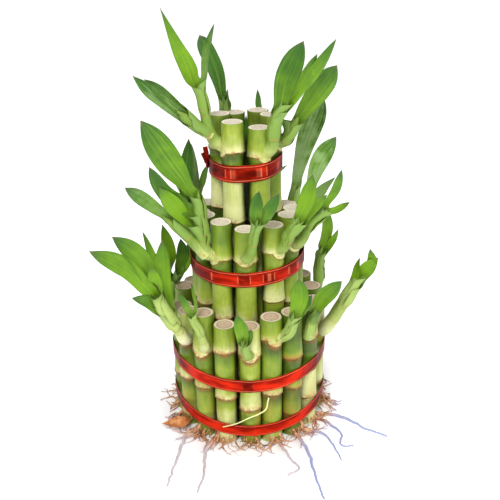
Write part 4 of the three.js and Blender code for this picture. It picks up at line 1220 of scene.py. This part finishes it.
def ribbonHeight(ribbon, bearing):
    return ribbon["middle"] + ribbon["right"] * math.sin(bearing) + ribbon["sides"] * math.sin(bearing) ** 2


def bearingOf(point):
    return math.atan2(point.x - tower.x, tower.y - point.y)


def ribbonLoop(ribbon):  # the foil's own line: round each cane's crest, straight to the next one
    form = ribbonForm
    ring = sorted((c for c in canes.values() if c["ring"] == ribbon["ring"]), key=lambda c: c["bearing"])
    points = []
    for i, cane in enumerate(ring):
        before, after = ring[i - 1]["bearing"], ring[(i + 1) % len(ring)]["bearing"]
        before -= turn if i == 0 else 0
        after += turn if i == len(ring) - 1 else 0
        start, end = (before + cane["bearing"]) / 2, (cane["bearing"] + after) / 2
        for step in range(form["perCane"] + 1):
            bearing = start + (end - start) * step / form["perCane"]
            points.append(onCane(cane, 0, 0, 0) + outward(bearing) * (cane["radius"] + form["gap"]))
    outer = cane["axis"] + cane["radius"] + form["gap"]
    closed = []
    for here, ahead in zip(points, points[1:] + points[:1]):
        steps = max(round((ahead - here).length / form["step"]), 1)
        for i in range(steps):
            taut = here.lerp(ahead, i / steps)
            away = (taut - tower) * Vector((1, 1, 0))
            spot = taut + away.normalized() * (outer - away.length) * form["bow"]
            spot.z = ribbonHeight(ribbon, bearingOf(taut))
            closed.append(spot)
    return closed + closed[:1]


def reflectionDarkness(ribbon, point):  # how dark the painted reflection on the foil is at a point of the loop
    bearing = math.degrees(bearingOf(point))
    shades = [0.0]
    for start, end, dark, fade in ribbon["darkReflections"]:
        for turned in (bearing, bearing + 360):
            inner = min(turned - start, end - turned) / fade + 0.5
            shades.append(dark * min(max(inner, 0), 1))
    return max(shades)


def makeRibbon(name, ribbon, index):
    form = ribbonForm
    first, step = form["seeds"]
    seed = first + step * index
    given = {"Centre": tower, "Width": ribbon["width"], "Seed": seed, "Foil": finishes["foil"]}
    loop = ribbonLoop(ribbon)
    meshes = [grow(ribbonTree, [(loop, [reflectionDarkness(ribbon, point) for point in loop])], given)]
    cane = canes[ribbon["knot"]]
    level = ribbonHeight(ribbon, cane["bearing"])
    crest = cane["radius"] + form["knotRise"]
    meshes.append(grow(knotTree, [([tower], 1.0)], {
        "Place": onCane(cane, crest + form["knotCentre"], 0, level), "Out": outward(cane["bearing"]),
        "Side": sideways(cane["bearing"]), "Seed": seed, "Foil": finishes["foil"],
        "Size": Vector((form["knotAcross"], form["knotOut"], ribbon["width"] * form["knotShare"]))}))
    for across, up, lift in form["tails"]:
        line = smoothPath([onCane(cane, crest + out + lift, across * part, level + up * part)
                           for out, part in form["tailSections"]], form["tailPoints"])
        behind = line[0] - Vector(ribbon["tailsFace"]) * 20 if "tailsFace" in ribbon else tower
        # The tails carry a little painted dark reflection.
        meshes.append(grow(ribbonTree, [(line, form["tailReflection"])], {
            **given, "Centre": behind, "Width": form["tailWidth"], "Seed": seed + lift}))
    piece = newPiece(f"foil_{name}", meshes)
    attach(piece, "root")
    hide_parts(f"ribbon_{name}")


finishes = {
    "cane": makeCaneFinish(), "cut": makeCutFinish(), "shoot": makeShootFinish(), "blade": makeBladeFinish(),
    "root": makeRootFinish(), "dry": makeDryFinish(), "foil": makeFoilFinish(),
}
print("finishes made")

caneTree, tubeTree, bladeTree = makeCaneTree(), makeTubeTree(), makeBladeTree()
ribbonTree, knotTree = makeRibbonTree(), makeKnotTree()
for index, cane in enumerate(canes.values()):
    makeCane(cane, index)
print("canes made")
for index, (name, ribbon) in enumerate(ribbons.items()):
    makeRibbon(name, ribbon, index)
print("ribbons made")


# The photo's view: from the front, a little above, with the camera rolled by a degree.
photoView = {"back": 362, "height": 256, "down": 24.5, "roll": 1.07, "lens": 56.16, "shift": 0.0056}


def makeCamera():
    down, roll = math.radians(photoView["down"]), math.radians(photoView["roll"])
    ahead = Vector((0, math.cos(down), -math.sin(down)))
    over = Vector((0, math.sin(down), math.cos(down)))
    right = Vector((1, 0, 0))
    x = right * math.cos(roll) - over * math.sin(roll)
    y = right * math.sin(roll) + over * math.cos(roll)
    data = bpy.data.cameras.new("photoCamera")
    data.sensor_width = 36
    data.lens = photoView["lens"]
    data.shift_x = photoView["shift"]
    data.clip_start = 0.01
    camera = bpy.data.objects.new("photoCamera", data)
    place = (tower + Vector((0, -photoView["back"], photoView["height"]))) * mm
    camera.matrix_world = Matrix.Translation(place) @ Matrix((x, y, -ahead)).transposed().to_4x4()
    bpy.context.scene.collection.objects.link(camera)
    bpy.context.scene.camera = camera


# Places and sizes are metres here, but the grain and the glow on the floor are millimetres.
lighting = {
    "floor": 8, "under": 0.0002, "floorColour": (0.93, 0.93, 0.93, 1), "floorGlow": 0.6, "grain": 40,
    "gloss": (0.6, 0.1), "glowFrom": (30, 85), "sky": 0.46, "aim": (0, 0, 0.1),
    "key": {"place": (-0.2, -0.85, 0.95), "size": 0.4, "power": 12},
    "fill": {"place": (0.7, -0.6, 0.45), "size": 0.6, "power": 4},
}


def makeSurroundings():
    form, scene = lighting, bpy.context.scene
    half, low = form["floor"] / 2, -form["under"]
    mesh = bpy.data.meshes.new("floor")
    corners = [(x * half, y * half, low) for x, y in ((-1, -1), (1, -1), (1, 1), (-1, 1))]
    mesh.from_pydata(corners, [], [(0, 1, 2, 3)])
    floor = bpy.data.objects.new("floor", mesh)
    material, g, place = startFinish("floorPaint")
    rough, grain = form["gloss"]
    shade = rough + g.noise(place, form["grain"], 2) * grain
    away = g.smooth(g.calc("LENGTH", place), *form["glowFrom"])
    endFinish(g, shade, 0.01, {
        "Base Color": form["floorColour"], "Roughness": shade,
        "Emission Color": g.mix(away, (0, 0, 0, 1), (1, 1, 1, 1)), "Emission Strength": form["floorGlow"]})
    mesh.materials.append(material)
    scene.collection.objects.link(floor)
    world = bpy.data.worlds.new("sky")
    world.use_nodes = True
    world.node_tree.nodes.clear()
    g = Graph(world.node_tree)
    seen = g.node("ShaderNodeLightPath").out("Is Camera Ray")
    values = {"Color": (1, 1, 1, 1), "Strength": g.choose(seen, form["sky"], 1)}
    g.node("ShaderNodeOutputWorld", {}, {"Surface": g.node("ShaderNodeBackground", {}, values)})
    scene.world = world
    for name in ("key", "fill"):
        data = bpy.data.lights.new(name, "AREA")
        data.size, data.energy = form[name]["size"], form[name]["power"]
        light = bpy.data.objects.new(name, data)
        light.location = form[name]["place"]
        light.rotation_euler = (Vector(form["aim"]) - light.location).to_track_quat("-Z", "Y").to_euler()
        scene.collection.objects.link(light)
    scene.view_settings.view_transform = "Standard"


makeCamera()
makeSurroundings()
print("camera and light set")
